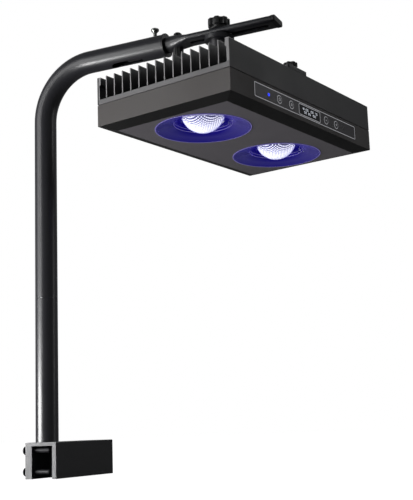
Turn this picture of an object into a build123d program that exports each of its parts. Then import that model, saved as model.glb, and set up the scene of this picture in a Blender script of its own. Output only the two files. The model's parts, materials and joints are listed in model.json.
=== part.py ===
from build123d import *
import os
from math import cos, radians, sin, sqrt

# LED aquarium light on a bent pole that clamps to the rim of a tank. Millimetres, +Z up.
# The origin is on the pole's axis, on the underside of the clamp's top wall, where the rim seats.
# The arm runs along +X over the water, and the clamp lies along Y, the way the glass does.

# ---- rim clamp ----
clamp_width = 39.9
clamp_offset = 0.55          # channel's middle from the pole's axis, along the arm
clamp_length = 117.0
clamp_drop = 35.0            # how far the legs reach below the rim seat
clamp_top_wall = 4.0
clamp_outer_wall = 8.5
clamp_inner_wall = 5.0
clamp_near_margin = 13.5     # pole axis to the near end of the channel
pad_thickness = 1.5
pad_border = 3.0
clamp_screw_radius = 2.5
clamp_screw_head_radius = 4.75
clamp_screw_head_height = 3.4
clamp_screw_standoff = 3.4   # head to wall while the glass is gripped
clamp_screw_upper = 4.6      # below the rim seat
clamp_screw_lower = 27.5
clamp_screw_end_margin = 6.5
glass_grip = 4.6             # screw tips to pad

# ---- pole ----
pole_od = 25.0
pole_wall = 1.5
pole_joint_height = 162.0
pole_seam = 0.3
bend_radius = 62.0
arm_height = 429.5           # arm axis above the rim seat
arm_end = 160.0              # end of the arm tube, measured from the pole axis
spigot_half_length = 25.0
spigot_wall = 1.6
foot_plug_height = 20.0
foot_screw_radius = 2.0
foot_screw_spacing = 12.0
foot_screw_length = 14.0
cable_hole_middle = 112.5
cable_hole_length = 41.0
cable_hole_width = 13.0

# ---- slide bar ----
bar_round_od = 18.0
bar_wall = 1.5
bar_tail = 112.0             # inner end of the round part, inside the arm
bar_round_end = 170.0
bar_flat_start = 190.0
bar_flat_width = 24.0
bar_flat_height = 7.0
bar_end = 288.8
slot_start = 190.0
slot_end = 283.5
slot_clearance = 0.5         # hanger stud to the slot's edge
end_cap_thickness = 4.7
end_cap_plug = 4.5
end_cap_corner = 2.4
bushing_length = 24.0
bushing_flange = 1.8
bushing_flange_overlap = 0.7   # how far the flange stands beyond the tube
stop_bolt_at = 175.0
stop_bolt_radius = 2.0
stop_bolt_head_radius = 4.5
stop_bolt_head_height = 3.0
stop_nut_radius = 6.0
stop_nut_height = 7.0
thumbscrew_at = 147.0
thumbscrew_radius = 2.0
thumbscrew_head_radius = 4.2
thumbscrew_head_base = 17.6  # above the arm axis
thumbscrew_head_top = 23.2

# ---- hanger ----
hanger_at = 225.0            # hanger axis from the pole axis
hanger_post_length = 58.0
hanger_post_radius = 11.0
post_flange_radius = 16.0    # the post's head under the bar
post_flange_height = 5.0
hanger_stud_radius = 3.0
hanger_stud_depth = 16.0
washer_radius = 11.0
washer_thickness = 1.5
washer_tongue_depth = 3.0
star_knob_radius = 12.0
star_knob_head = 8.0
star_knob_hub = 3.0
star_knob_hub_radius = 7.5
star_lobes = 7
star_lobe_depth = 0.18      # of the knob's radius
crossbar_near = 15.0         # bolt line to the edge nearer the front
crossbar_far = 19.5
crossbar_thickness = 4.0
crossbar_knob_radius = 7.2
crossbar_knob_head = 4.6
crossbar_knob_hub = 1.4
crossbar_knob_hub_radius = 5.0
crossbar_stud_radius = 2.5
crossbar_stud_clearance = 0.4 # stud to the bead of the side plate
slide_nut_width = 7.6
slide_nut_length = 12.0
slide_nut_height = 4.0

# ---- lamp ----
lamp_width = 163.0           # across the fins
lamp_length = 269.0          # along the fins
lamp_swivel = -11.0          # how the lamp is turned about the hanger, in degrees
hanger_off_width = -12.5     # hanger axis from the lamp's middle, across the fins
hanger_off_length = -16.0    # and along them
chamfer_inset = 14.2
chamfer_height = 3.8
housing_height = 26.4        # bottom face to the heat sink's base
housing_wall = 2.0
bottom_wall = 2.0
case_gasket_thickness = 0.6
case_gasket_inset = 1.0
case_gasket_width = 3.0
sink_base = 5.0
fin_height = 23.4
fin_thickness = 1.2
fin_spacing = 10.6667         # about, between the middles of two fins
side_plate = 3.0
side_bead_width = 4.4
side_bead_height = 8.0
case_screw_radius = 2.0
case_screw_head_radius = 3.5
case_screw_head_height = 2.4
case_screw_boss_radius = 5.0
case_screw_length = 14.0
case_screw_end_inset = 9.0

# ---- optics ----
cup_spacing = 135.0
cup_lip_width = 2.2
cup_lip = 0.4
cup_depth = 13.0
cup_bowl_width = 16.6        # mouth radius less the well's
cup_floor = 1.2
cup_flange_width = 4.0       # cup flange beyond the lens flange
cup_neck_wall = 0.6
lens_ball_radius = 23.0      # the dome is part of a ball
lens_proud = 4.2             # the dome's tip below the bottom face
well_radius = 30.0           # edge between the shallow bowl and the deep well
well_rim_height = 4.2
well_taper = 1.0
cup_wall = 1.6
lens_hole_gap = 0.4
lens_flange_width = 3.0      # lens flange beyond the well
lens_flange = 2.0
lens_gasket_thickness = 0.6
holder_margin = 3.4          # holder beyond the lens flange
holder_wall = 2.0
holder_lip = 1.5
led_board_thickness = 1.6
led_array_size = 28.0
led_array_height = 1.2

# ---- control panel ----
panel_length = 196.0
panel_height = 15.0
panel_middle = 2.5           # along the lamp's length
panel_lift = 0.5             # above the middle of the side face
panel_thickness = 0.8
panel_sink = 0.7
display_middle = 5.0
display_length = 40.0
display_height = 10.0
display_depth = 4.0
button_places = (-52.0, -30.0, 38.0, 59.0)
button_names = ("power", "mode", "down", "up")
button_radius = 3.5
button_proud = 0.4
button_flange_width = 0.7
button_flange = 0.8
button_travel = 0.6
indicator_at = -71.0
indicator_radius = 1.6
receiver_at = 76.0
receiver_radius = 2.0
board_length = 190.0
board_height = 17.0
board_thickness = 1.6
board_setback = 6.0          # outer face to the board's front
switch_size = 5.0
spacer_radius = 2.5
driver_length = 100.0
driver_width = 30.0
driver_rise = 6.0

# ---- power inlet ----
inlet_radius = 5.5
inlet_flange_radius = 8.0
inlet_flange = 1.6
inlet_depth = 14.0
inlet_socket_radius = 3.1
inlet_pin_radius = 1.0
inlet_nut_radius = 8.0
inlet_nut_height = 2.5
inlet_drop = 0.1             # below the middle of the side face

# ---- fits ----
running = 0.05               # radial gap of a turning or sliding shaft
loose = 0.2                  # gap between faces that slide past each other
snug = 0.03                  # radial gap of a piece that is pushed in

clamp_near = -clamp_near_margin
clamp_middle = clamp_near + clamp_length / 2
clamp_left = clamp_offset - clamp_width / 2
clamp_right = clamp_offset + clamp_width / 2
gap_left = clamp_left + clamp_outer_wall
gap_right = clamp_right - clamp_inner_wall
pad_face = gap_right - pad_thickness
pole_radius = pole_od / 2
pole_bore = pole_radius - pole_wall
bar_radius = bar_round_od / 2
slot_width = 2 * (hanger_stud_radius + slot_clearance)
bar_top = arm_height + bar_flat_height / 2
bar_bottom = arm_height - bar_flat_height / 2
fin_top = housing_height + sink_base + fin_height
crossbar_top = fin_top + crossbar_thickness
crossbar_knob_inset = side_bead_width + crossbar_stud_clearance + crossbar_stud_radius
side_middle = (chamfer_height + housing_height) / 2
panel_rise = side_middle + panel_lift      # above the bottom face
inlet_rise = side_middle - inlet_drop
button_flange_radius = button_radius + button_flange_width
lens_flange_radius = well_radius + lens_flange_width
cup_mouth_radius = well_radius + cup_bowl_width
cup_neck_radius = cup_mouth_radius + cup_neck_wall
cup_lip_radius = cup_mouth_radius + cup_lip_width
cup_flange_radius = lens_flange_radius + cup_flange_width
holder_radius = lens_flange_radius + holder_margin
led_board_radius = holder_radius - holder_wall - 0.4
lamp_bottom_z = bar_bottom - loose - hanger_post_length - crossbar_top

# The lamp's own plane: x across the fins, y along them, its origin in the middle of the bottom face.
turn = radians(lamp_swivel)
lamp_origin = (
    hanger_at - cos(turn) * hanger_off_width + sin(turn) * hanger_off_length,
    -sin(turn) * hanger_off_width - cos(turn) * hanger_off_length,
    lamp_bottom_z,
)
lamp = Plane(origin=lamp_origin, x_dir=(cos(turn), sin(turn), 0), z_dir=(0, 0, 1))


def on_lamp(across, along, up):
    """A point given in the lamp's own directions, as a point of the whole light."""
    return lamp.from_local_coords(Vector(across, along, up))


def lamp_profile(across, along):
    """An upright plane in the lamp: local x is the radius from a vertical axis, local y the height."""
    return Plane(origin=on_lamp(across, along, 0), x_dir=lamp.x_dir, z_dir=-lamp.y_dir)


def upright_profile(x, y, z):
    """An upright plane along X: local x is the radius from a vertical axis, local y the height."""
    return Plane(origin=(x, y, z), x_dir=(1, 0, 0), z_dir=(0, -1, 0))


def vertical(origin):
    return Axis(origin, (0, 0, 1))


def dome(rim_radius, rim_height, apex_height):
    """A dome's outline in a profile sketch: an arc from the rim to the apex, centred on the spin axis."""
    rise = apex_height - rim_height
    ball = (rim_radius ** 2 + rise ** 2) / (2 * rise)
    half_way = apex_height - ball + (ball / abs(ball)) * sqrt(ball ** 2 - rim_radius ** 2 / 4)
    ThreePointArc((rim_radius, rim_height), (rim_radius / 2, half_way), (0, apex_height))


os.makedirs("parts", exist_ok=True)


def save(solid, name):
    solid.label = name
    export_step(solid, "parts/" + name + ".step")


# ================= rim clamp =================

screw_rises = (-clamp_screw_upper, -clamp_screw_lower)
screw_places = (clamp_near + clamp_screw_end_margin, clamp_near + clamp_length - clamp_screw_end_margin)

with BuildPart() as clamp_channel:
    with BuildSketch(Plane.XZ.offset(-clamp_near)):
        with Locations((clamp_offset, (clamp_top_wall - clamp_drop) / 2)):
            Rectangle(clamp_width, clamp_top_wall + clamp_drop)
        with Locations(((gap_left + gap_right) / 2, -clamp_drop / 2)):
            Rectangle(gap_right - gap_left, clamp_drop, mode=Mode.SUBTRACT)
    extrude(amount=-clamp_length)
    long_edges = clamp_channel.edges().filter_by(Axis.Y)
    fillet(long_edges.group_by(Axis.Z)[-1], radius=1.0)
    fillet(clamp_channel.edges().filter_by(Axis.Y).group_by(Axis.Z)[0], radius=0.6)
    with BuildSketch(Plane.YZ.offset(clamp_left)):
        with Locations([(y, z) for y in screw_places for z in screw_rises]):
            Circle(clamp_screw_radius + running)
    extrude(amount=clamp_outer_wall, mode=Mode.SUBTRACT)
    with Locations(Plane.XY.rotated((180, 0, 0))):
        with Locations((0, foot_screw_spacing / 2), (0, -foot_screw_spacing / 2)):
            CounterSinkHole(foot_screw_radius + running, 2 * foot_screw_radius + running,
                            depth=clamp_top_wall)
save(clamp_channel.part, "clamp_channel")

with BuildPart() as glass_pad:
    with BuildSketch(Plane.YZ.offset(pad_face)):
        with Locations((clamp_middle, -clamp_drop / 2)):
            RectangleRounded(clamp_length - 2 * pad_border, clamp_drop - 2 * pad_border, 2.0)
    extrude(amount=pad_thickness)
save(glass_pad.part, "glass_pad")

screw_head_base = clamp_left - clamp_screw_standoff
screw_tip = pad_face - glass_grip


def make_clamp_screw(y, z):
    """A domed screw that points along +X through the outer wall."""
    screw_length = screw_tip - screw_head_base
    tip_round = 0.6 * clamp_screw_radius
    # local x is the radius, local y runs outwards from the screw's tip to its head
    profile = Plane(origin=(screw_tip, y, z), x_dir=(0, 0, 1), z_dir=(0, -1, 0))
    with BuildPart() as screw:
        with BuildSketch(profile):
            with BuildLine():
                dome(clamp_screw_radius, tip_round, 0)
                Polyline((clamp_screw_radius, tip_round), (clamp_screw_radius, screw_length),
                         (clamp_screw_head_radius, screw_length), (clamp_screw_head_radius, screw_length + 0.8))
                dome(clamp_screw_head_radius, screw_length + 0.8, screw_length + clamp_screw_head_height)
                Line((0, screw_length + clamp_screw_head_height), (0, 0))
            make_face()
        revolve(axis=Axis((0, y, z), (1, 0, 0)))
        with BuildSketch(Plane.YZ.offset(screw_head_base - clamp_screw_head_height)):
            with Locations((y, z)):
                Rectangle(4.2, 0.9)
                Rectangle(0.9, 4.2)
        extrude(amount=1.8, mode=Mode.SUBTRACT)
    return screw.part


for end_name, y in zip(("near", "far"), screw_places):
    for row_name, z in zip(("upper", "lower"), screw_rises):
        save(make_clamp_screw(y, z), "clamp_screw_" + end_name + "_" + row_name)

# ================= pole =================

with BuildPart() as pole_foot_plug:
    with BuildSketch(Plane.XY.offset(clamp_top_wall)):
        Circle(pole_bore - snug)
        with Locations((0, foot_screw_spacing / 2), (0, -foot_screw_spacing / 2)):
            Circle(foot_screw_radius + running, mode=Mode.SUBTRACT)
    extrude(amount=foot_plug_height)
    chamfer(pole_foot_plug.edges().group_by(Axis.Z)[-1].sort_by(SortBy.LENGTH)[-1], length=1.0)
save(pole_foot_plug.part, "pole_foot_plug")

with BuildPart() as pole_foot_screws:
    for y in (-foot_screw_spacing / 2, foot_screw_spacing / 2):
        with BuildSketch(upright_profile(0, y, 0)):
            with BuildLine():
                Polyline((0, 0), (2 * foot_screw_radius, 0), (foot_screw_radius, foot_screw_radius),
                         (foot_screw_radius, foot_screw_length), (0, foot_screw_length), close=True)
            make_face()
        revolve(axis=vertical((0, y, 0)))
save(pole_foot_screws.part, "pole_foot_screws")

with BuildPart() as lower_pole:
    with BuildSketch(Plane.XY.offset(clamp_top_wall)):
        Circle(pole_radius)
        Circle(pole_bore, mode=Mode.SUBTRACT)
    extrude(amount=pole_joint_height - clamp_top_wall)
save(lower_pole.part, "lower_pole")

with BuildPart() as pole_spigot:
    with BuildSketch(Plane.XY.offset(pole_joint_height - spigot_half_length)):
        Circle(pole_bore - running)
        Circle(pole_bore - spigot_wall, mode=Mode.SUBTRACT)
    extrude(amount=2 * spigot_half_length)
    chamfer(pole_spigot.edges().group_by(Axis.Z)[-1], length=0.5)
save(pole_spigot.part, "pole_spigot")

with BuildPart() as upper_pole:
    with BuildLine():
        Line((0, 0, pole_joint_height + pole_seam), (0, 0, arm_height - bend_radius))
        bend_middle = bend_radius * (1 - cos(radians(45)))
        ThreePointArc((0, 0, arm_height - bend_radius), (bend_middle, 0, arm_height - bend_middle),
                      (bend_radius, 0, arm_height))
        Line((bend_radius, 0, arm_height), (arm_end, 0, arm_height))
    with BuildSketch(Plane.XY.offset(pole_joint_height + pole_seam)):
        Circle(pole_radius)
        Circle(pole_bore, mode=Mode.SUBTRACT)
    sweep()
    with BuildSketch(Plane.XY.offset(arm_height - pole_radius - 1)):
        with Locations((cable_hole_middle, 0)):
            SlotOverall(cable_hole_length, cable_hole_width)
    extrude(amount=pole_radius + 1, mode=Mode.SUBTRACT)
    with BuildSketch(Plane.XY.offset(arm_height)):
        with Locations((thumbscrew_at, 0)):
            Circle(thumbscrew_radius + running)
    extrude(amount=pole_radius + 1, mode=Mode.SUBTRACT)
save(upper_pole.part, "upper_pole")

with BuildPart() as tube_bushing:
    with BuildSketch(Plane.YZ.offset(arm_end - bushing_length)):
        with Locations((0, arm_height)):
            Circle(pole_bore - snug)
    extrude(amount=bushing_length)
    with BuildSketch(Plane.YZ.offset(arm_end)):
        with Locations((0, arm_height)):
            Circle(pole_radius + bushing_flange_overlap)
    extrude(amount=bushing_flange)
    with BuildSketch(Plane.YZ.offset(arm_end - bushing_length)):
        with Locations((0, arm_height)):
            Circle(bar_radius + running)
    extrude(amount=bushing_length + bushing_flange, mode=Mode.SUBTRACT)
    with BuildSketch(Plane.XY.offset(arm_height)):
        with Locations((thumbscrew_at, 0)):
            Circle(thumbscrew_radius + running)
    extrude(amount=pole_radius + 1, mode=Mode.SUBTRACT)
save(tube_bushing.part, "tube_bushing")

with BuildPart() as thumbscrew:
    head_base = thumbscrew_head_base
    head_top = thumbscrew_head_top
    head_edge = (head_base + head_top) / 2
    with BuildSketch(upright_profile(thumbscrew_at, 0, arm_height)):
        with BuildLine():
            Polyline((0, bar_radius + loose), (thumbscrew_radius - 0.4, bar_radius + loose),
                     (thumbscrew_radius, bar_radius + loose + 0.5), (thumbscrew_radius, head_base),
                     (thumbscrew_radius + 0.6, head_base), (thumbscrew_head_radius, head_edge - 0.4),
                     (thumbscrew_head_radius, head_edge + 1.0))
            dome(thumbscrew_head_radius, head_edge + 1.0, head_top)
            Line((0, head_top), (0, bar_radius + loose))
        make_face()
    revolve(axis=vertical((thumbscrew_at, 0, 0)))
save(thumbscrew.part, "thumbscrew")

# ================= slide bar =================


def stadium(x, width, height):
    with BuildSketch(Plane.YZ.offset(x)) as section:
        with Locations((0, arm_height)):
            SlotOverall(width, height)
    return section.sketch


round_width = bar_round_od + 0.3   # the tube is a hair wider than high where the press starts

with BuildPart() as bar_blank:
    with BuildSketch(Plane.YZ.offset(bar_tail)):
        with Locations((0, arm_height)):
            Circle(bar_radius)
    extrude(amount=bar_round_end - bar_tail)
    loft([stadium(bar_round_end, round_width, bar_round_od),
          stadium(bar_flat_start, bar_flat_width, bar_flat_height)])

with BuildPart() as slide_bar:
    add(bar_blank.part)
    with BuildSketch(Plane.YZ.offset(bar_tail)):
        with Locations((0, arm_height)):
            Circle(bar_radius - bar_wall)
    extrude(amount=bar_round_end - bar_tail, mode=Mode.SUBTRACT)
    loft([stadium(bar_round_end, round_width - 2 * bar_wall, bar_round_od - 2 * bar_wall),
          stadium(bar_flat_start, bar_flat_width - 2 * bar_wall, bar_flat_height - 2 * bar_wall)],
         mode=Mode.SUBTRACT)
    with BuildSketch(Plane.YZ.offset(bar_flat_start)):
        with Locations((0, arm_height)):
            SlotOverall(bar_flat_width, bar_flat_height)
            SlotOverall(bar_flat_width - 2 * bar_wall, bar_flat_height - 2 * bar_wall, mode=Mode.SUBTRACT)
    extrude(amount=bar_end - bar_flat_start)
    with BuildSketch(Plane.XY.offset(bar_bottom - 1)):
        with Locations(((slot_start + slot_end) / 2, 0)):
            SlotOverall(slot_end - slot_start, slot_width)
    extrude(amount=bar_flat_height + 2, mode=Mode.SUBTRACT)
    with BuildSketch(Plane.XY.offset(arm_height - bar_radius - 1)):
        with Locations((stop_bolt_at, 0)):
            Circle(stop_bolt_radius + running)
    extrude(amount=bar_round_od + 2, mode=Mode.SUBTRACT)
save(slide_bar.part, "slide_bar")

with BuildPart() as bar_end_cap:
    with BuildSketch(Plane.YZ.offset(bar_end)):
        with Locations((0, arm_height)):
            RectangleRounded(bar_flat_width, bar_flat_height, end_cap_corner)
    extrude(amount=end_cap_thickness)
    fillet(bar_end_cap.edges().group_by(Axis.X)[-1], radius=1.0)
    with BuildSketch(Plane.YZ.offset(bar_end - end_cap_plug)):
        with Locations((0, arm_height)):
            SlotOverall(bar_flat_width - 2 * bar_wall - 2 * running, bar_flat_height - 2 * bar_wall - 2 * running)
    extrude(amount=end_cap_plug)
save(bar_end_cap.part, "bar_end_cap")

with BuildPart() as stop_bolt:
    head_base = bar_radius + 0.1
    with BuildSketch(Plane.XY.offset(arm_height)):
        with Locations((stop_bolt_at, 0)):
            Circle(stop_bolt_head_radius)
    extrude(amount=head_base)
    add(bar_blank.part, mode=Mode.SUBTRACT)
    head_top = head_base + stop_bolt_head_height
    with BuildSketch(upright_profile(stop_bolt_at, 0, arm_height)):
        with BuildLine():
            Polyline((0, -bar_radius - stop_nut_height), (stop_bolt_radius, -bar_radius - stop_nut_height),
                     (stop_bolt_radius, head_base), (stop_bolt_head_radius, head_base),
                     (stop_bolt_head_radius, head_base + 0.8))
            dome(stop_bolt_head_radius, head_base + 0.8, head_top)
            Line((0, head_top), (0, -bar_radius - stop_nut_height))
        make_face()
    revolve(axis=vertical((stop_bolt_at, 0, 0)))
save(stop_bolt.part, "stop_bolt")

with BuildPart() as stop_nut:
    with BuildSketch(Plane.XY.offset(arm_height - bar_radius - stop_nut_height)):
        with Locations((stop_bolt_at, 0)):
            Circle(stop_nut_radius)
            with PolarLocations(stop_nut_radius + 0.4, 12):
                Circle(0.9, mode=Mode.SUBTRACT)
            Circle(stop_bolt_radius + running, mode=Mode.SUBTRACT)
    extrude(amount=bar_radius + stop_nut_height)
    add(bar_blank.part, mode=Mode.SUBTRACT)
save(stop_nut.part, "stop_nut")

# ================= hanger =================

with BuildPart() as slot_washer:
    with BuildSketch(Plane.XY.offset(bar_top + 0.05)):
        with Locations((hanger_at, 0)):
            Circle(washer_radius)
    extrude(amount=washer_thickness)
    with BuildSketch(Plane.XY.offset(bar_top + 0.05 - washer_tongue_depth)):
        with Locations((hanger_at, 0)):
            Rectangle(1.6 * slot_width, slot_width - 2 * running)
    extrude(amount=washer_tongue_depth)
    with Locations((hanger_at, 0, bar_top + washer_thickness)):
        Hole(hanger_stud_radius + running)
save(slot_washer.part, "slot_washer")


def star_profile(radius):
    """A star: a circle with a scallop cut between each pair of lobes."""
    scallop = star_lobe_depth * radius
    Circle(radius)
    with PolarLocations(radius + 0.35 * scallop, star_lobes):
        Circle(1.35 * scallop, mode=Mode.SUBTRACT)


def make_star_knob(plane, radius, head, hub_radius, hub, stud_radius):
    with BuildPart() as knob:
        with BuildSketch(plane):
            Circle(hub_radius)
        extrude(amount=hub)
        with BuildSketch(plane.offset(hub)):
            star_profile(radius)
        extrude(amount=head)
        chamfer(knob.faces().sort_by(Axis.Z)[-1].edges(), length=0.8)
        with BuildSketch(plane):
            Circle(stud_radius)
        extrude(amount=hub + 0.55 * head, mode=Mode.SUBTRACT)
    return knob.part


def make_stud(plane, radius, above, below):
    with BuildPart() as stud:
        with BuildSketch(plane.offset(-below)):
            Circle(radius)
        extrude(amount=below + above)
        chamfer(stud.edges().group_by(Axis.Z)[0], length=0.6)
    return stud.part


knob_seat = bar_top + 0.05 + washer_thickness + loose
star_plane = Plane.XY.offset(knob_seat).shift_origin((hanger_at, 0, knob_seat))
save(make_star_knob(star_plane, star_knob_radius, star_knob_head, star_knob_hub_radius, star_knob_hub,
                    hanger_stud_radius), "star_knob")
post_top = bar_bottom - loose
save(make_stud(star_plane, hanger_stud_radius, star_knob_hub + 0.55 * star_knob_head,
               knob_seat - post_top + hanger_stud_depth), "star_knob_stud")

with BuildPart() as hanger_post:
    with BuildSketch(Plane.XY.offset(post_top - hanger_post_length)):
        with Locations((hanger_at, 0)):
            Circle(hanger_post_radius)
    extrude(amount=hanger_post_length)
    with BuildSketch(Plane.XY.offset(post_top - post_flange_height)):
        with Locations((hanger_at, 0)):
            Circle(post_flange_radius)
    extrude(amount=post_flange_height)
    fillet(hanger_post.edges().group_by(Axis.Z)[-1], radius=0.8)
    with BuildSketch(Plane.XY.offset(post_top)):
        with Locations((hanger_at, 0)):
            Circle(hanger_stud_radius + running)
    extrude(amount=-hanger_stud_depth - 2, mode=Mode.SUBTRACT)
    with BuildSketch(Plane.XY.offset(post_top - hanger_post_length)):
        with Locations((hanger_at, 0)):
            Circle(hanger_stud_radius + running)
    extrude(amount=hanger_stud_depth, mode=Mode.SUBTRACT)
save(hanger_post.part, "hanger_post")

knob_across = lamp_width / 2 - crossbar_knob_inset
crossbar_middle = hanger_off_length + (crossbar_far - crossbar_near) / 2
crossbar_plane = lamp.offset(fin_top)

with BuildPart() as crossbar:
    with BuildSketch(crossbar_plane):
        with Locations((0, crossbar_middle)):
            RectangleRounded(lamp_width, crossbar_near + crossbar_far, 1.5)
        with Locations((-knob_across, hanger_off_length), (knob_across, hanger_off_length)):
            Circle(crossbar_stud_radius + 0.3, mode=Mode.SUBTRACT)
    extrude(amount=crossbar_thickness)
    with Locations(Plane(origin=on_lamp(hanger_off_width, hanger_off_length, fin_top), z_dir=(0, 0, -1))):
        CounterSinkHole(hanger_stud_radius + running, 2 * hanger_stud_radius - 0.2,
                        depth=crossbar_thickness)
save(crossbar.part, "crossbar")

with BuildPart() as post_foot_screw:
    screw_top = crossbar_thickness + hanger_stud_depth - 2
    cone = hanger_stud_radius - 0.4
    with BuildSketch(lamp_profile(hanger_off_width, hanger_off_length).shift_origin(
            on_lamp(hanger_off_width, hanger_off_length, fin_top))):
        with BuildLine():
            Polyline((0, 0.1), (2 * hanger_stud_radius - 0.4, 0.1), (hanger_stud_radius, cone + 0.1),
                     (hanger_stud_radius, screw_top), (0, screw_top), close=True)
        make_face()
    revolve(axis=vertical(on_lamp(hanger_off_width, hanger_off_length, 0)))
save(post_foot_screw.part, "post_foot_screw")

nut_top = fin_top - side_bead_height - 0.1
knob_plane_up = crossbar_top + loose
for side_name, side in (("right", 1), ("left", -1)):
    across = side * knob_across
    knob_plane = lamp.offset(knob_plane_up).shift_origin(on_lamp(across, hanger_off_length, knob_plane_up))
    knob = make_star_knob(knob_plane, crossbar_knob_radius, crossbar_knob_head, crossbar_knob_hub_radius,
                          crossbar_knob_hub, crossbar_stud_radius)
    save(knob, "crossbar_knob_" + side_name)
    stud = make_stud(knob_plane, crossbar_stud_radius, crossbar_knob_hub + 0.55 * crossbar_knob_head,
                     knob_plane_up - nut_top + slide_nut_height)
    save(stud, "crossbar_stud_" + side_name)

with BuildPart() as slide_nuts:
    with BuildSketch(lamp.offset(nut_top - slide_nut_height)):
        with Locations((-knob_across, hanger_off_length), (knob_across, hanger_off_length)):
            Rectangle(slide_nut_width, slide_nut_length)
            Circle(crossbar_stud_radius + running, mode=Mode.SUBTRACT)
    extrude(amount=slide_nut_height)
save(slide_nuts.part, "slide_nuts")

# ================= heat sink and housing =================

plate_middle = (lamp_width - side_plate) / 2
fin_count = round(2 * plate_middle / fin_spacing) - 1
fin_pitch = 2 * plate_middle / (fin_count + 1)
fin_places = [(i - (fin_count - 1) / 2) * fin_pitch for i in range(fin_count)]
screw_across = (fin_places[-1] + plate_middle) / 2 - 0.4
screw_along = lamp_length / 2 - case_screw_end_inset
case_screw_places = [(x, y) for x in (-screw_across, screw_across) for y in (-screw_along, screw_along)]

with BuildPart() as heat_sink:
    with BuildSketch(lamp.offset(housing_height)):
        Rectangle(lamp_width, lamp_length)
    extrude(amount=sink_base)
    with BuildSketch(lamp.offset(housing_height + sink_base)):
        with Locations([(x, 0) for x in fin_places]):
            Rectangle(fin_thickness, lamp_length)
        with Locations((-plate_middle, 0), (plate_middle, 0)):
            Rectangle(side_plate, lamp_length)
    extrude(amount=fin_height)
    with BuildSketch(lamp.offset(fin_top - side_bead_height)):
        bead_middle = (lamp_width - side_bead_width) / 2
        with Locations((-bead_middle, 0), (bead_middle, 0)):
            Rectangle(side_bead_width, lamp_length)
    extrude(amount=side_bead_height)
    with BuildSketch(lamp.offset(housing_height)):
        with Locations(case_screw_places):
            Circle(case_screw_radius + 0.2)
    extrude(amount=sink_base, mode=Mode.SUBTRACT)
save(heat_sink.part, "heat_sink")

housing_top = housing_height - case_gasket_thickness
panel_plane = Plane(origin=on_lamp(lamp_width / 2, 0, 0), x_dir=lamp.y_dir, z_dir=lamp.x_dir)
inner_width = lamp_width - 2 * housing_wall
inner_length = lamp_length - 2 * housing_wall
cup_places = [(0, -cup_spacing / 2), (0, cup_spacing / 2)]
inlet_plane = Plane(origin=on_lamp(-lamp_width / 2, 0, 0), x_dir=-lamp.y_dir, z_dir=-lamp.x_dir)
panel_window_height = 10.4

with BuildPart() as housing:
    with BuildSketch(lamp):
        Rectangle(lamp_width - 2 * chamfer_inset, lamp_length - 2 * chamfer_inset)
    with BuildSketch(lamp.offset(chamfer_height)):
        Rectangle(lamp_width, lamp_length)
    loft()
    with BuildSketch(lamp.offset(chamfer_height)):
        Rectangle(lamp_width, lamp_length)
    extrude(amount=housing_top - chamfer_height)
    with BuildSketch(lamp.offset(bottom_wall)):
        Rectangle(inner_width - 2 * chamfer_inset, inner_length - 2 * chamfer_inset)
    with BuildSketch(lamp.offset(bottom_wall + chamfer_height)):
        Rectangle(inner_width, inner_length)
    loft(mode=Mode.SUBTRACT)
    with BuildSketch(lamp.offset(bottom_wall + chamfer_height)):
        Rectangle(inner_width, inner_length)
    extrude(amount=housing_top, mode=Mode.SUBTRACT)
    with BuildSketch(lamp.offset(bottom_wall + 1)):
        with Locations(case_screw_places):
            Circle(case_screw_boss_radius)
    extrude(amount=housing_top - bottom_wall - 1)
    with BuildSketch(lamp.offset(housing_top - case_screw_length)):
        with Locations(case_screw_places):
            Circle(case_screw_radius + running)
    extrude(amount=case_screw_length, mode=Mode.SUBTRACT)
    with BuildSketch(lamp):
        with Locations(cup_places):
            Circle(cup_neck_radius + snug)
    extrude(amount=bottom_wall + 1, mode=Mode.SUBTRACT)
    with BuildSketch(panel_plane):
        with Locations((panel_middle, panel_rise)):
            RectangleRounded(panel_length + 2 * snug, panel_height + 2 * snug, 1.5 + snug)
    extrude(amount=-panel_sink, mode=Mode.SUBTRACT)
    with BuildSketch(panel_plane):
        with Locations((panel_middle, panel_rise)):
            Rectangle(panel_length - 16, panel_window_height)
    extrude(amount=-housing_wall - 1, mode=Mode.SUBTRACT)
    with BuildSketch(inlet_plane):
        with Locations((0, inlet_rise)):
            Circle(inlet_radius + snug)
    extrude(amount=-housing_wall - 1, mode=Mode.SUBTRACT)
save(housing.part, "housing")

with BuildPart() as case_gasket:
    with BuildSketch(lamp.offset(housing_top)):
        Rectangle(lamp_width - 2 * case_gasket_inset, lamp_length - 2 * case_gasket_inset)
        Rectangle(lamp_width - 2 * case_gasket_width, lamp_length - 2 * case_gasket_width,
                  mode=Mode.SUBTRACT)
    extrude(amount=case_gasket_thickness)
save(case_gasket.part, "case_gasket")

with BuildPart() as case_screws:
    seat = housing_height + sink_base
    for across, along in case_screw_places:
        with BuildSketch(lamp_profile(across, along)):
            with BuildLine():
                Polyline((0, housing_top - case_screw_length + 1),
                         (case_screw_radius, housing_top - case_screw_length + 1),
                         (case_screw_radius, seat), (case_screw_head_radius, seat),
                         (case_screw_head_radius, seat + 0.6 * case_screw_head_height),
                         (0.7 * case_screw_head_radius, seat + case_screw_head_height),
                         (0, seat + case_screw_head_height), close=True)
            make_face()
        revolve(axis=vertical(on_lamp(across, along, 0)))
save(case_screws.part, "case_screws")

# ================= optics =================

cup_top = cup_depth + cup_floor
lens_back = cup_top + lens_gasket_thickness + lens_flange
lens_ball_middle = lens_ball_radius - lens_proud
lens_flange_base = cup_top + lens_gasket_thickness
lens_neck = sqrt(lens_ball_radius ** 2 - (lens_ball_middle - lens_flange_base) ** 2)
lens_hole = lens_neck + lens_hole_gap

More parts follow.
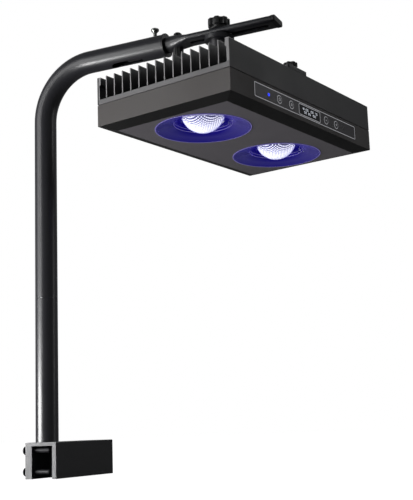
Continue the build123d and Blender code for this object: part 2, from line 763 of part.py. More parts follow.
for number, (across, along) in enumerate(cup_places, start=1):
    place = lamp_profile(across, along)
    spin = vertical(on_lamp(across, along, 0))
    tag = "_" + str(number)

    with BuildPart() as reflector_cup:
        with BuildSketch(place):
            with BuildLine():
                Polyline((cup_mouth_radius, -cup_lip), (well_radius, well_rim_height),
                         (well_radius - well_taper, cup_depth), (lens_hole, cup_depth), (lens_hole, cup_top),
                         (cup_flange_radius, cup_top), (cup_flange_radius, cup_top - cup_wall),
                         (well_radius + cup_wall, cup_top - cup_wall),
                         (well_radius + cup_wall, well_rim_height + cup_wall), (cup_neck_radius, cup_wall),
                         (cup_neck_radius, 0), (cup_lip_radius, 0), (cup_lip_radius, -cup_lip), close=True)
            make_face()
        revolve(axis=spin)
    save(reflector_cup.part, "reflector_cup" + tag)

    with BuildPart() as lens_gasket:
        with BuildSketch(lamp.offset(cup_top).shift_origin(on_lamp(across, along, cup_top))):
            Circle(lens_flange_radius)
            Circle(lens_hole, mode=Mode.SUBTRACT)
        extrude(amount=lens_gasket_thickness)
    save(lens_gasket.part, "lens_gasket" + tag)

    with BuildPart() as lens:
        half_way = lens_ball_radius * sin(radians(40))
        half_way_up = lens_ball_middle - lens_ball_radius * cos(radians(40))
        with BuildSketch(place):
            with BuildLine():
                ThreePointArc((0, -lens_proud), (half_way, half_way_up), (lens_neck, lens_flange_base))
                Polyline((lens_neck, lens_flange_base), (lens_flange_radius, lens_flange_base),
                         (lens_flange_radius, lens_back), (0, lens_back), (0, -lens_proud))
            make_face()
        revolve(axis=spin)
    save(lens.part, "lens" + tag)

    with BuildPart() as lens_holder:
        with BuildSketch(place):
            with BuildLine():
                Polyline((holder_radius, cup_top), (holder_radius, housing_height),
                         (holder_radius - holder_wall, housing_height),
                         (holder_radius - holder_wall, lens_back + holder_lip),
                         (well_radius, lens_back + holder_lip), (well_radius, lens_back),
                         (lens_flange_radius + 0.3, lens_back), (lens_flange_radius + 0.3, cup_top), close=True)
            make_face()
        revolve(axis=spin)
    save(lens_holder.part, "lens_holder" + tag)

    board_base = housing_height - led_board_thickness
    with BuildPart() as led_board:
        with BuildSketch(lamp.offset(board_base).shift_origin(on_lamp(across, along, board_base))):
            Circle(led_board_radius)
        extrude(amount=led_board_thickness)
    save(led_board.part, "led_board" + tag)

    array_base = board_base - led_array_height
    with BuildPart() as led_array:
        with BuildSketch(lamp.offset(array_base).shift_origin(on_lamp(across, along, array_base))):
            with GridLocations(led_array_size / 5, led_array_size / 5, 5, 5):
                Rectangle(led_array_size / 5 - 1.2, led_array_size / 5 - 1.2)
        extrude(amount=led_array_height)
    save(led_array.part, "led_array" + tag)

# ================= control panel =================

panel_face = panel_plane.offset(-panel_sink)

with BuildPart() as control_panel:
    with BuildSketch(panel_face):
        with Locations((panel_middle, panel_rise)):
            RectangleRounded(panel_length, panel_height, 1.5)
        with Locations([(y, panel_rise) for y in button_places]):
            Circle(button_radius + 0.15, mode=Mode.SUBTRACT)
        with Locations((display_middle, panel_rise)):
            RectangleRounded(display_length, display_height, 1.6, mode=Mode.SUBTRACT)
        with Locations((indicator_at, panel_rise)):
            Circle(indicator_radius + snug, mode=Mode.SUBTRACT)
        with Locations((receiver_at, panel_rise)):
            Circle(receiver_radius + snug, mode=Mode.SUBTRACT)
    extrude(amount=panel_thickness)
save(control_panel.part, "control_panel")

board_front = panel_plane.offset(-board_setback)

with BuildPart() as display_module:
    with BuildSketch(board_front):
        with Locations((display_middle, panel_rise)):
            RectangleRounded(display_length - 2 * snug, display_height - 2 * snug, 1.6 - snug)
    extrude(amount=board_setback - panel_sink + panel_thickness)
save(display_module.part, "display_module")

with BuildPart() as control_board:
    with BuildSketch(panel_plane.offset(-board_setback - board_thickness)):
        with Locations((panel_middle, panel_rise)):
            Rectangle(board_length, board_height)
    extrude(amount=board_thickness)
save(control_board.part, "control_board")

cap_base = -panel_sink - 1.2
switch_height = board_setback + cap_base - button_flange - button_travel - 0.1

with BuildPart() as key_switches:
    with BuildSketch(board_front):
        with Locations([(y, panel_rise) for y in button_places]):
            Rectangle(switch_size, switch_size)
    extrude(amount=switch_height)
save(key_switches.part, "key_switches")

for name, y in zip(button_names, button_places):
    with BuildPart() as button:
        with BuildSketch(panel_plane.offset(cap_base - button_flange)):
            with Locations((y, panel_rise)):
                Circle(button_flange_radius)
        extrude(amount=button_flange)
        with BuildSketch(panel_plane.offset(cap_base)):
            with Locations((y, panel_rise)):
                Circle(button_radius)
        extrude(amount=button_proud - cap_base)
    save(button.part, "button_" + name)

with BuildPart() as indicator_light:
    with BuildSketch(board_front):
        with Locations((indicator_at, panel_rise)):
            Circle(indicator_radius)
    extrude(amount=board_setback - panel_sink + panel_thickness)
save(indicator_light.part, "indicator_light")

with BuildPart() as remote_receiver:
    with BuildSketch(board_front):
        with Locations((receiver_at, panel_rise)):
            Circle(receiver_radius)
    extrude(amount=board_setback - panel_sink + panel_thickness)
save(remote_receiver.part, "remote_receiver")

with BuildPart() as board_spacers:
    spacer_along = board_length / 2 - 4
    with BuildSketch(board_front):
        with Locations([(panel_middle + side * spacer_along, panel_rise) for side in (-1, 1)]):
            Circle(spacer_radius)
            Circle(1.3, mode=Mode.SUBTRACT)
    extrude(amount=board_setback - housing_wall)
save(board_spacers.part, "board_spacers")

# ================= driver board and power inlet =================

with BuildPart() as driver_board:
    with BuildSketch(lamp.offset(driver_rise)):
        Rectangle(driver_length, driver_width)
    extrude(amount=board_thickness)
    with BuildSketch(lamp.offset(driver_rise + board_thickness)):
        with GridLocations(26, 15, 3, 2):
            Rectangle(11, 9)
    extrude(amount=8)
    with BuildSketch(lamp.offset(driver_rise + board_thickness)):
        with Locations((-44, -7), (-44, 7)):
            Circle(4)
    extrude(amount=12)
save(driver_board.part, "driver_board")

with BuildPart() as driver_spacers:
    with BuildSketch(lamp.offset(bottom_wall)):
        with GridLocations(driver_length - 7, driver_width - 7, 2, 2):
            Circle(2.4)
    extrude(amount=driver_rise - bottom_wall)
save(driver_spacers.part, "driver_spacers")

with BuildPart() as power_inlet:
    with BuildSketch(inlet_plane):
        with Locations((0, inlet_rise)):
            Circle(inlet_flange_radius)
    extrude(amount=inlet_flange)
    with BuildSketch(inlet_plane):
        with Locations((0, inlet_rise)):
            Circle(inlet_radius)
    extrude(amount=-inlet_depth)
    with BuildSketch(inlet_plane.offset(inlet_flange)):
        with Locations((0, inlet_rise)):
            Circle(inlet_socket_radius)
    extrude(amount=-inlet_depth, mode=Mode.SUBTRACT)
    with BuildSketch(inlet_plane.offset(-inlet_depth)):
        with Locations((0, inlet_rise)):
            Circle(inlet_pin_radius)
    extrude(amount=inlet_depth)
save(power_inlet.part, "power_inlet")

with BuildPart() as inlet_nut:
    with BuildSketch(inlet_plane.offset(-housing_wall)):
        with Locations((0, inlet_rise)):
            RegularPolygon(inlet_nut_radius, 6)
            Circle(inlet_radius + snug, mode=Mode.SUBTRACT)
    extrude(amount=-inlet_nut_height)
save(inlet_nut.part, "inlet_nut")
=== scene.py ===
# %% [markdown]
# # An LED aquarium light
# This lesson dresses a CAD model of an aquarium light. The light hangs from a bent pole that clamps to
# the rim of a tank. CAD fixes every size and every moving part, and Blender adds the finish: rounded
# edges, cut metal, glass, printed marks and paint. The frame is loaded first, because each piece takes
# its place from it.

# %% Load the frame
import json
import math

import bmesh
import bpy
from mathutils import Matrix, Vector

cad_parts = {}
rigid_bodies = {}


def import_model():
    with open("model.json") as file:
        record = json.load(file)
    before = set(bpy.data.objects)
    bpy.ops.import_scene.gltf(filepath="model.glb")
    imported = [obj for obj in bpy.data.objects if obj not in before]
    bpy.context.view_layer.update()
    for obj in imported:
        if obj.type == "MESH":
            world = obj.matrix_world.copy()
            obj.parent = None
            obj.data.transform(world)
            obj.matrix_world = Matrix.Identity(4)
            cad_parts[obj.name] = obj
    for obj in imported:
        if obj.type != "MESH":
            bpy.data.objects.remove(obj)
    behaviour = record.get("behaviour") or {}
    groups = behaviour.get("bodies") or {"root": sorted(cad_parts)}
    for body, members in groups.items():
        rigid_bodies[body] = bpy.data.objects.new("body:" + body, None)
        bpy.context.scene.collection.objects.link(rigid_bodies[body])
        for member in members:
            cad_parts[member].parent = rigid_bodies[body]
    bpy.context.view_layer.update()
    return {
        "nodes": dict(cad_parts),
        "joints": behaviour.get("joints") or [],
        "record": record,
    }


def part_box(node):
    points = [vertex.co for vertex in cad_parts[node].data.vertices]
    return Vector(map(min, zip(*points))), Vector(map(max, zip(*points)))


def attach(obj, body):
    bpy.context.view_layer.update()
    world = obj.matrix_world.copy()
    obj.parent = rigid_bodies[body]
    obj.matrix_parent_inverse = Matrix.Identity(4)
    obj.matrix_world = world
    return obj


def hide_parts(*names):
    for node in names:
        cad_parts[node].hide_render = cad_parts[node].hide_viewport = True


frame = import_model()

MM = 0.001
nodes = frame["nodes"]
record = frame["record"]
joints = {joint["name"]: joint for joint in frame["joints"]}

# %% [markdown]
# ## Where the lamp sits
# The lamp is turned a little about its hanger, so its sides don't follow the world's axes. A button's
# joint points into the lamp's front face, and that gives the lamp's own directions: across the fins and
# along them. Pieces of the lamp are made in those directions and then moved into place in their mesh,
# so their objects stay at the origin.

# %% The lamp's own directions
up = Vector((0, 0, 1))
across = -Vector(joints["button_power_press"]["axis"])
along = up.cross(across)
housing_low, housing_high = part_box("housing")
housing_middle = (housing_low + housing_high) / 2
lamp_bottom = Vector((housing_middle.x, housing_middle.y, housing_low.z))
lamp_place = Matrix.Translation(lamp_bottom) @ Matrix((across, along, up)).transposed().to_4x4()
lamp_unplace = lamp_place.inverted()


def lamp_span(node):
    """A node's lowest and highest corners, measured in the lamp's own directions."""
    points = [lamp_unplace @ v.co for v in nodes[node].data.vertices]
    low = Vector([min(p[i] for p in points) for i in range(3)])
    high = Vector([max(p[i] for p in points) for i in range(3)])
    return low, high


sink_low, sink_high = lamp_span("heat_sink")
print("lamp turned by", round(math.degrees(math.atan2(across.y, across.x)), 1), "degrees")
print("heat sink, mm:", [round(v / MM, 1) for v in sink_high - sink_low])

# %% [markdown]
# ## The camera
# A camera in Blender looks along its own -Z, with +Y up. Its lens is given in millimetres for a 36 mm
# sensor along the longer side of the picture. It stands low and to the right of the arm, looks slightly
# up at the underside of the lamp, and is rolled by two degrees.

# %% Camera
view_yaw, view_pitch, view_roll = math.radians(25.48), math.radians(10.29), math.radians(-1.97)
camera_spot = Vector((0.6383, -0.9176, 0.0112))
forward = Vector((-math.sin(view_yaw) * math.cos(view_pitch), math.cos(view_yaw) * math.cos(view_pitch),
                  math.sin(view_pitch)))
level = Vector((math.cos(view_yaw), math.sin(view_yaw), 0))
steep = level.cross(forward)
right = math.cos(view_roll) * level + math.sin(view_roll) * steep
top = -math.sin(view_roll) * level + math.cos(view_roll) * steep
camera_data = bpy.data.cameras.new("camera")
camera_data.lens = 71.3
camera = bpy.data.objects.new("camera", camera_data)
camera.matrix_world = Matrix.Translation(camera_spot) @ Matrix((right, top, -forward)).transposed().to_4x4()
bpy.context.scene.collection.objects.link(camera)
bpy.context.scene.camera = camera
print("camera at", [round(v, 3) for v in camera_spot])

# %% [markdown]
# ## The light in the studio
# A soft light from the left front shapes the near end of the lamp. A narrow strip beside it draws the
# broad highlight down the pole, and a thinner one from the right draws the pole's other edge. A low light
# reaches the underside, and one from above keeps the top and back from going black. The backdrop is
# white only for the camera; every other ray meets a dim one, so that black paint stays black.

# %% Lights
scene = bpy.context.scene
scene.view_settings.view_transform = "Standard"


def soft_light(name, spot, target, size, power):
    data = bpy.data.lights.new(name, "AREA")
    data.shape = "RECTANGLE"
    data.size, data.size_y = size
    data.energy = power
    lamp = bpy.data.objects.new(name, data)
    spot, target = Vector(spot), Vector(target)
    turn = (target - spot).to_track_quat("-Z", "Y").to_matrix().to_4x4()
    lamp.matrix_world = Matrix.Translation(spot) @ turn
    scene.collection.objects.link(lamp)
    return lamp


soft_light("left_softbox", (-1.3, -1.1, 0.5), (0.1, 0, 0.3), (0.8, 1.6), 10)
soft_light("pole_strip", (-0.55, -1.2, 0.25), (0, 0, 0.22), (0.22, 1.3), 5)
soft_light("low_fill", (-0.45, -0.5, 0.04), (0.2, 0.05, 0.34), (0.4, 0.15), 6.5)
soft_light("top_softbox", (0.3, 0.9, 1.5), (0.1, 0, 0.3), (1.0, 1.0), 9)
soft_light("right_strip", (1.07, 0.52, 0.25), (0, 0, 0.2), (0.05, 1.2), 0.9)

world = bpy.data.worlds.new("studio")
scene.world = world
world.use_nodes = True
world_nodes, world_links = world.node_tree.nodes, world.node_tree.links
world_nodes.clear()
seen = world_nodes.new("ShaderNodeBackground")
seen.inputs["Color"].default_value = (1, 1, 1, 1)
felt = world_nodes.new("ShaderNodeBackground")
felt.inputs["Color"].default_value = (0.95, 0.97, 1, 1)
felt.inputs["Strength"].default_value = 0.14
ray = world_nodes.new("ShaderNodeLightPath")
choice = world_nodes.new("ShaderNodeMixShader")
world_out = world_nodes.new("ShaderNodeOutputWorld")
world_links.new(ray.outputs["Is Camera Ray"], choice.inputs[0])
world_links.new(felt.outputs[0], choice.inputs[1])
world_links.new(seen.outputs[0], choice.inputs[2])
world_links.new(choice.outputs[0], world_out.inputs[0])

# %% [markdown]
# ## Shared effects
# A paint, a plastic and an anodised metal differ in colour, yet all of them need the same three things:
# a colour that drifts a little, a roughness that drifts with it, and a fine grain that catches the light.
# A node group does that once. It gives only a colour, a roughness and a normal, and each material keeps
# its own Principled shader. It reads Object coordinates, which are the light's own metres.

# %% The grain group


def group_socket(group, name, kind, direction, value=None):
    socket = group.interface.new_socket(name, in_out=direction, socket_type="NodeSocket" + kind)
    if value is not None:
        socket.default_value = value
    return socket


grain = bpy.data.node_groups.new("surface_grain", "ShaderNodeTree")
group_socket(grain, "Dark", "Color", "INPUT", (0.02, 0.02, 0.02, 1))
group_socket(grain, "Light", "Color", "INPUT", (0.04, 0.04, 0.04, 1))
group_socket(grain, "Smoothest", "Float", "INPUT", 0.3)
group_socket(grain, "Roughest", "Float", "INPUT", 0.5)
group_socket(grain, "Grains per metre", "Float", "INPUT", 1500.0)
group_socket(grain, "Depth", "Float", "INPUT", 0.2)
group_socket(grain, "Stretch", "Vector", "INPUT", (1, 1, 1))
group_socket(grain, "Color", "Color", "OUTPUT")
group_socket(grain, "Roughness", "Float", "OUTPUT")
group_socket(grain, "Normal", "Vector", "OUTPUT")
gn, gl = grain.nodes, grain.links
g_in, g_out = gn.new("NodeGroupInput"), gn.new("NodeGroupOutput")
where = gn.new("ShaderNodeTexCoord")
stretch = gn.new("ShaderNodeVectorMath")
stretch.operation = "MULTIPLY"
gl.new(where.outputs["Object"], stretch.inputs[0])
gl.new(g_in.outputs["Stretch"], stretch.inputs[1])
clouds = gn.new("ShaderNodeTexNoise")
clouds.inputs["Scale"].default_value = 22.0
clouds.inputs["Detail"].default_value = 5.0
gl.new(stretch.outputs[0], clouds.inputs["Vector"])
specks = gn.new("ShaderNodeTexNoise")
specks.inputs["Detail"].default_value = 3.0
gl.new(stretch.outputs[0], specks.inputs["Vector"])
gl.new(g_in.outputs["Grains per metre"], specks.inputs["Scale"])
blend_tone = gn.new("ShaderNodeMix")
blend_tone.data_type = "FLOAT"
blend_tone.inputs["Factor"].default_value = 0.35
gl.new(clouds.outputs["Fac"], blend_tone.inputs["A"])
gl.new(specks.outputs["Fac"], blend_tone.inputs["B"])
tone = gn.new("ShaderNodeMix")
tone.data_type = "RGBA"
gl.new(blend_tone.outputs["Result"], tone.inputs["Factor"])
gl.new(g_in.outputs["Dark"], tone.inputs["A"])
gl.new(g_in.outputs["Light"], tone.inputs["B"])
gl.new(tone.outputs["Result"], g_out.inputs["Color"])
gloss = gn.new("ShaderNodeMapRange")
gloss.inputs["From Min"].default_value = 0.3
gloss.inputs["From Max"].default_value = 0.7
gl.new(clouds.outputs["Fac"], gloss.inputs["Value"])
gl.new(g_in.outputs["Smoothest"], gloss.inputs["To Min"])
gl.new(g_in.outputs["Roughest"], gloss.inputs["To Max"])
gl.new(gloss.outputs["Result"], g_out.inputs["Roughness"])
bump = gn.new("ShaderNodeBump")
bump.inputs["Distance"].default_value = 0.0002
gl.new(specks.outputs["Fac"], bump.inputs["Height"])
gl.new(g_in.outputs["Depth"], bump.inputs["Strength"])
gl.new(bump.outputs["Normal"], g_out.inputs["Normal"])
print("group", grain.name, "with", len(gn), "nodes")

# %% [markdown]
# ## Materials
# One function makes a material from the grain group: a dark and a light tone, how smooth and how rough
# it gets, and how coarse its grain is. What differs by finish, such as metal or a clear coat, is set on
# the Principled shader's own sockets.

# %% Material maker


def grained(name, dark, light, smooth, rough, grains=1500.0, depth=0.2, stretch_by=(1, 1, 1), **shader):
    """A material whose colour, roughness and fine relief come from the grain group."""
    material = bpy.data.materials.new(name)
    material.use_nodes = True
    tree = material.node_tree
    surface = tree.nodes["Principled BSDF"]
    effect = tree.nodes.new("ShaderNodeGroup")
    effect.node_tree = grain
    effect.inputs["Dark"].default_value = (*dark, 1)
    effect.inputs["Light"].default_value = (*light, 1)
    effect.inputs["Smoothest"].default_value = smooth
    effect.inputs["Roughest"].default_value = rough
    effect.inputs["Grains per metre"].default_value = grains
    effect.inputs["Depth"].default_value = depth
    effect.inputs["Stretch"].default_value = stretch_by
    tree.links.new(effect.outputs["Color"], surface.inputs["Base Color"])
    tree.links.new(effect.outputs["Roughness"], surface.inputs["Roughness"])
    tree.links.new(effect.outputs["Normal"], surface.inputs["Normal"])
    for socket, value in shader.items():
        surface.inputs[socket.replace("_", " ")].default_value = value
    return material


finishes = {
    "clamp_black": grained("clamp_paint",
        (0.009, 0.009, 0.010), (0.017, 0.017, 0.019), 0.34, 0.5, 1800, 0.35),
    "pad_rubber": grained("pad_rubber", (0.012, 0.012, 0.012), (0.024, 0.024, 0.024), 0.7, 0.9, 900, 0.4),
    "steel_bright": grained("black_zinc", (0.010, 0.010, 0.011), (0.022, 0.022, 0.025), 0.5, 0.65, 2500, 0.15,
                            Metallic=0.3),
    "thumbscrew_steel": grained("dark_nickel", (0.10, 0.105, 0.10), (0.30, 0.31, 0.29), 0.25, 0.45, 2500,
                                0.2, Metallic=1.0),
    "pole_black": grained("pole_paint", (0.012, 0.012, 0.015), (0.020, 0.020, 0.024), 0.30, 0.36, 2200, 0.01,
                          Coat_Weight=0.3, Coat_Roughness=0.28),
    "spigot_metal": grained("spigot_aluminium", (0.4, 0.41, 0.42), (0.6, 0.61, 0.63), 0.3, 0.45, 2000, 0.1,
                            Metallic=1.0),
    "plastic_black": grained("moulded_black",
        (0.006, 0.006, 0.007), (0.014, 0.014, 0.015), 0.3, 0.5, 2600, 0.3),
    "stop_bolt_black": grained("black_oxide",
        (0.010, 0.010, 0.011), (0.022, 0.022, 0.024), 0.3, 0.5, 2500, 0.2,
                               Metallic=0.6),
    "post_black": grained("post_paint", (0.012, 0.012, 0.015), (0.022, 0.022, 0.026), 0.3, 0.42, 2200, 0.15),
    "nut_steel": grained("nut_zinc",
        (0.35, 0.36, 0.38), (0.52, 0.53, 0.55), 0.3, 0.5, 2500, 0.15, Metallic=1.0),
    "housing_black": grained("housing_paint",
        (0.036, 0.032, 0.031), (0.062, 0.055, 0.053), 0.5, 0.66, 2600, 0.5),
    "gasket_rubber": grained("gasket_rubber",
        (0.005, 0.005, 0.005), (0.010, 0.010, 0.010), 0.7, 0.9, 900, 0.3),
    "holder_plastic": grained("holder_plastic",
        (0.01, 0.01, 0.012), (0.02, 0.02, 0.024), 0.4, 0.6, 1200, 0.2),
    "led_board_metal": grained("board_white", (0.6, 0.6, 0.6), (0.8, 0.8, 0.8), 0.3, 0.5, 1200, 0.1),
    "led_emitter": grained("emitter", (0.7, 0.75, 0.9), (0.9, 0.95, 1.0), 0.2, 0.4, 3000, 0.1,
                           Emission_Color=(0.6, 0.7, 1.0, 1), Emission_Strength=1.5),
    "panel_black": grained("panel_film", (0.024, 0.021, 0.026), (0.034, 0.030, 0.037), 0.28, 0.4, 3000, 0.1),
    "display_dark": grained("display_window",
        (0.004, 0.004, 0.006), (0.008, 0.008, 0.011), 0.08, 0.16, 1000, 0.02),
    "circuit_board": grained("circuit_board", (0.01, 0.09, 0.03), (0.02, 0.15, 0.06), 0.3, 0.5, 900, 0.3),
    "switch_plastic": grained("switch_plastic", (0.04, 0.04, 0.04), (0.07, 0.07, 0.07), 0.4, 0.6, 900, 0.2),
    "button_black": grained("button_film",
        (0.010, 0.010, 0.014), (0.018, 0.018, 0.024), 0.3, 0.45, 3000, 0.1),
    "indicator_blue": grained("indicator", (0.01, 0.03, 0.7), (0.02, 0.06, 0.9), 0.1, 0.2, 3000, 0.05,
                              Emission_Color=(0.02, 0.05, 1.0, 1), Emission_Strength=1.2),
    "receiver_dark": grained("receiver_window",
        (0.0006, 0.0005, 0.0006), (0.0012, 0.0010, 0.0012), 0.3, 0.4, 1000, 0.02),
    "inlet_black": grained("inlet_plastic",
        (0.008, 0.008, 0.008), (0.016, 0.016, 0.016), 0.35, 0.55, 1800, 0.25),
}
print("materials:", len(finishes))

# %% [markdown]
# ## Tones and painted light that follow a face's direction
# The heat sink is an extrusion. It is anodised black along its length, and its sawn ends stay lighter, so
# its tone follows the normal in the lamp's long direction. The foot of the sawn end and the outer edge of
# its left plate stay darker. The housing's chamfer is painted nearly black for the dark it reflects, and
# its bottom plate is painted lighter for the sheen it catches; the clamp's near end, which faces the soft
# light, is painted lighter than its sides. All three follow the normal too. The reflector cup is a glossy
# deep blue with a painted pale reflection where it is seen edge on, and a faint painted blue glow.

# %% Heat sink and cup materials
sink_base_top = sink_low.z + 5.0 * MM
dark_edge = 79.5 * MM                 # from the lamp's middle to the dark edge of its left plate
sink_finish = grained("sink_anodised", (0.016, 0.016, 0.018), (0.028, 0.028, 0.031), 0.35, 0.5, 1800, 0.25)
sink_tree = sink_finish.node_tree
sink_surface = sink_tree.nodes["Principled BSDF"]
sink_coords = sink_tree.nodes.new("ShaderNodeTexCoord")
facing = sink_tree.nodes.new("ShaderNodeVectorMath")
facing.operation = "DOT_PRODUCT"
facing.inputs[1].default_value = along
sink_tree.links.new(sink_coords.outputs["Normal"], facing.inputs[0])
size_of = sink_tree.nodes.new("ShaderNodeMath")
size_of.operation = "ABSOLUTE"
sink_tree.links.new(facing.outputs["Value"], size_of.inputs[0])
sawn = sink_tree.nodes.new("ShaderNodeMapRange")
sawn.inputs["From Min"].default_value = 0.8
sawn.inputs["From Max"].default_value = 0.95
sink_tree.links.new(size_of.outputs[0], sawn.inputs["Value"])
sawn_tone = sink_tree.nodes.new("ShaderNodeMix")
sawn_tone.data_type = "RGBA"
sawn_tone.inputs["B"].default_value = (0.19, 0.185, 0.19, 1)
sink_effect = next(n for n in sink_tree.nodes if n.type == "GROUP")
side_spot = sink_tree.nodes.new("ShaderNodeVectorMath")
side_spot.operation = "DOT_PRODUCT"
side_spot.inputs[1].default_value = across
sink_tree.links.new(sink_coords.outputs["Object"], side_spot.inputs[0])
inside_left = sink_tree.nodes.new("ShaderNodeMath")
inside_left.operation = "GREATER_THAN"
inside_left.inputs[1].default_value = lamp_bottom.dot(across) - dark_edge
sink_tree.links.new(side_spot.outputs["Value"], inside_left.inputs[0])
height_spot = sink_tree.nodes.new("ShaderNodeSeparateXYZ")
sink_tree.links.new(sink_coords.outputs["Object"], height_spot.inputs[0])
shaded = sink_tree.nodes.new("ShaderNodeMapRange")
shaded.inputs["From Min"].default_value = lamp_bottom.z + sink_base_top
shaded.inputs["From Max"].default_value = lamp_bottom.z + sink_base_top + 0.0015
shaded.inputs["To Min"].default_value = 0.42
sink_tree.links.new(height_spot.outputs["Z"], shaded.inputs["Value"])
bare = sink_tree.nodes.new("ShaderNodeMath")
bare.operation = "MULTIPLY"
sink_tree.links.new(sawn.outputs["Result"], bare.inputs[0])
sink_tree.links.new(inside_left.outputs[0], bare.inputs[1])
bare_low = sink_tree.nodes.new("ShaderNodeMath")
bare_low.operation = "MULTIPLY"
sink_tree.links.new(bare.outputs[0], bare_low.inputs[0])
sink_tree.links.new(shaded.outputs["Result"], bare_low.inputs[1])
sink_tree.links.new(bare_low.outputs[0], sawn_tone.inputs["Factor"])
sink_tree.links.new(sink_effect.outputs["Color"], sawn_tone.inputs["A"])
sink_tree.links.new(sawn_tone.outputs["Result"], sink_surface.inputs["Base Color"])
finishes["heat_sink_black"] = sink_finish



def toned_by_normal(material, direction, nearest, furthest, tone):
    """Paint light or shade as a tone of their own onto the faces whose normal leans this way, within two
    limits.
    """
    tree = material.node_tree
    surface = tree.nodes["Principled BSDF"]
    before = surface.inputs["Base Color"].links[0].from_socket
    coords = tree.nodes.new("ShaderNodeTexCoord")
    lean = tree.nodes.new("ShaderNodeVectorMath")
    lean.operation = "DOT_PRODUCT"
    lean.inputs[1].default_value = direction
    tree.links.new(coords.outputs["Normal"], lean.inputs[0])
    middle = tree.nodes.new("ShaderNodeMath")
    middle.operation = "COMPARE"
    middle.inputs[1].default_value = (nearest + furthest) / 2
    middle.inputs[2].default_value = abs(furthest - nearest) / 2
    tree.links.new(lean.outputs["Value"], middle.inputs[0])
    blend = tree.nodes.new("ShaderNodeMix")
    blend.data_type = "RGBA"
    blend.inputs["B"].default_value = (*tone, 1)
    tree.links.new(middle.outputs[0], blend.inputs["Factor"])
    tree.links.new(before, blend.inputs["A"])
    tree.links.new(blend.outputs["Result"], surface.inputs["Base Color"])


def toned_edge_on(material, tone, blend_value, strongest):
    """Painted reflection: paler towards the places that are seen edge on, as a glossy deep colour looks."""
    tree = material.node_tree
    surface = tree.nodes["Principled BSDF"]
    before = surface.inputs["Base Color"].links[0].from_socket
    view = tree.nodes.new("ShaderNodeLayerWeight")
    view.inputs["Blend"].default_value = blend_value
    reach = tree.nodes.new("ShaderNodeMapRange")
    reach.inputs["From Min"].default_value = 0.35
    reach.inputs["From Max"].default_value = 0.95
    reach.inputs["To Max"].default_value = strongest
    tree.links.new(view.outputs["Facing"], reach.inputs["Value"])
    blend = tree.nodes.new("ShaderNodeMix")
    blend.data_type = "RGBA"
    blend.inputs["B"].default_value = (*tone, 1)
    tree.links.new(reach.outputs["Result"], blend.inputs["Factor"])
    tree.links.new(before, blend.inputs["A"])
    tree.links.new(blend.outputs["Result"], surface.inputs["Base Color"])


flat_down = 0.985                     # a face that leans further than this from straight down is chamfer
# Painted reflection: the chamfer is painted near black for the dark it reflects, and the flat bottom plate is
# painted lighter for the bright sheen it catches from below.
toned_by_normal(finishes["housing_black"], -up, 0.12, flat_down, (0.003, 0.003, 0.0032))
toned_by_normal(finishes["housing_black"], -up, flat_down + 0.001, 1.02, (0.16, 0.15, 0.165))
# Painted light: the clamp's near end, turned to -Y and lit by the soft light at the left front, gets a
# lighter tone than its sides; the far end keeps the dark paint.
toned_by_normal(finishes["clamp_black"], (0, -1, 0), 0.9, 1.1, (0.055, 0.055, 0.060))
# The cup's faint blue emission is a painted glow of the LED light it reflects; the cup itself is no lamp.
cup_painted_glow_finish = grained("cup_blue", (0.002, 0.0005, 0.08), (0.006, 0.002, 0.14), 0.14, 0.22, 2500, 0.03,
                     Coat_Weight=0.3, Coat_Roughness=0.1, Emission_Color=(0.01, 0.0, 0.7, 1),
                     Emission_Strength=0.13)
toned_edge_on(cup_painted_glow_finish, (0.12, 0.10, 0.30), 0.5, 0.9)
finishes["reflector_blue"] = cup_painted_glow_finish
lens_finish = grained("lens_blue_glass", (0.02, 0.02, 0.45), (0.10, 0.12, 0.80), 0.05, 0.12, 900, 0.1,
                      Coat_Weight=0.6, Coat_Roughness=0.04)
finishes["lens_glass"] = lens_finish

for part in record["subparts"]:
    node = nodes[part["node"]]
    node.data.materials.clear()
    node.data.materials.append(finishes[part["material_slot"]])
print("every CAD node has a finish")


# %% [markdown]
# ## Makers
# Every piece below is one plain mesh whose object stays at the origin. `show` closes a bmesh into such
# a piece, smooths it up to a chosen angle, gives it its finish and lets it ride on its CAD body. `lathe`
# spins an outline round an upright axis, which is how a cup, a screw head or a lens is really turned.

# %% Piece makers
body_of = {name: node.parent.name.split(":")[-1] for name, node in nodes.items()}
slot_of = {part["node"]: part["material_slot"] for part in record["subparts"]}


def show(name, shape, finish, body, stands_for=(), place=None, smooth_below=35.0):
    """Makes a piece of a bmesh, or of a mesh, and puts it on its body."""
    mesh = shape
    if isinstance(shape, bmesh.types.BMesh):
        if place is not None:
            shape.transform(place)
        bmesh.ops.remove_doubles(shape, verts=shape.verts, dist=2e-6)
        bmesh.ops.recalc_face_normals(shape, faces=shape.faces)
        mesh = bpy.data.meshes.new(name)
        shape.to_mesh(mesh)
        shape.free()
    mesh.shade_smooth()
    mesh.set_sharp_from_angle(angle=math.radians(smooth_below))
    if finish is not None:
        mesh.materials.clear()
        mesh.materials.append(finish)
    made = bpy.data.objects.new(name, mesh)
    scene.collection.objects.link(made)
    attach(made, body)
    if stands_for:
        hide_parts(*stands_for)
    return made


def lathe(shape, outline, turns=96, centre=(0, 0)):
    """Spins (radius, height) points, in millimetres, round an upright axis."""
    rings = []
    for radius, height in outline:
        if radius < 1e-6:
            rings.append([shape.verts.new((centre[0] * MM, centre[1] * MM, height * MM))])
            continue
        ring = []
        for i in range(turns):
            angle = 2 * math.pi * i / turns
            ring.append(shape.verts.new(((centre[0] + radius * math.cos(angle)) * MM,
                                         (centre[1] + radius * math.sin(angle)) * MM, height * MM)))
        rings.append(ring)
    for low, high in zip(rings, rings[1:]):
        for i in range(turns):
            j = (i + 1) % turns
            corners = [low[i % len(low)], low[j % len(low)], high[j % len(high)], high[i % len(high)]]
            corners = list(dict.fromkeys(corners))
            if len(corners) > 2:
                shape.faces.new(corners)


def arc(middle, radius, start, end, steps=6):
    """Points of an arc in an outline, angles in degrees."""
    points = []
    for i in range(steps + 1):
        angle = math.radians(start + (end - start) * i / steps)
        points.append((middle[0] + radius * math.cos(angle), middle[1] + radius * math.sin(angle)))
    return points


WIDE_FACE = 4e-5          # square metres; a face wider than this stays flat


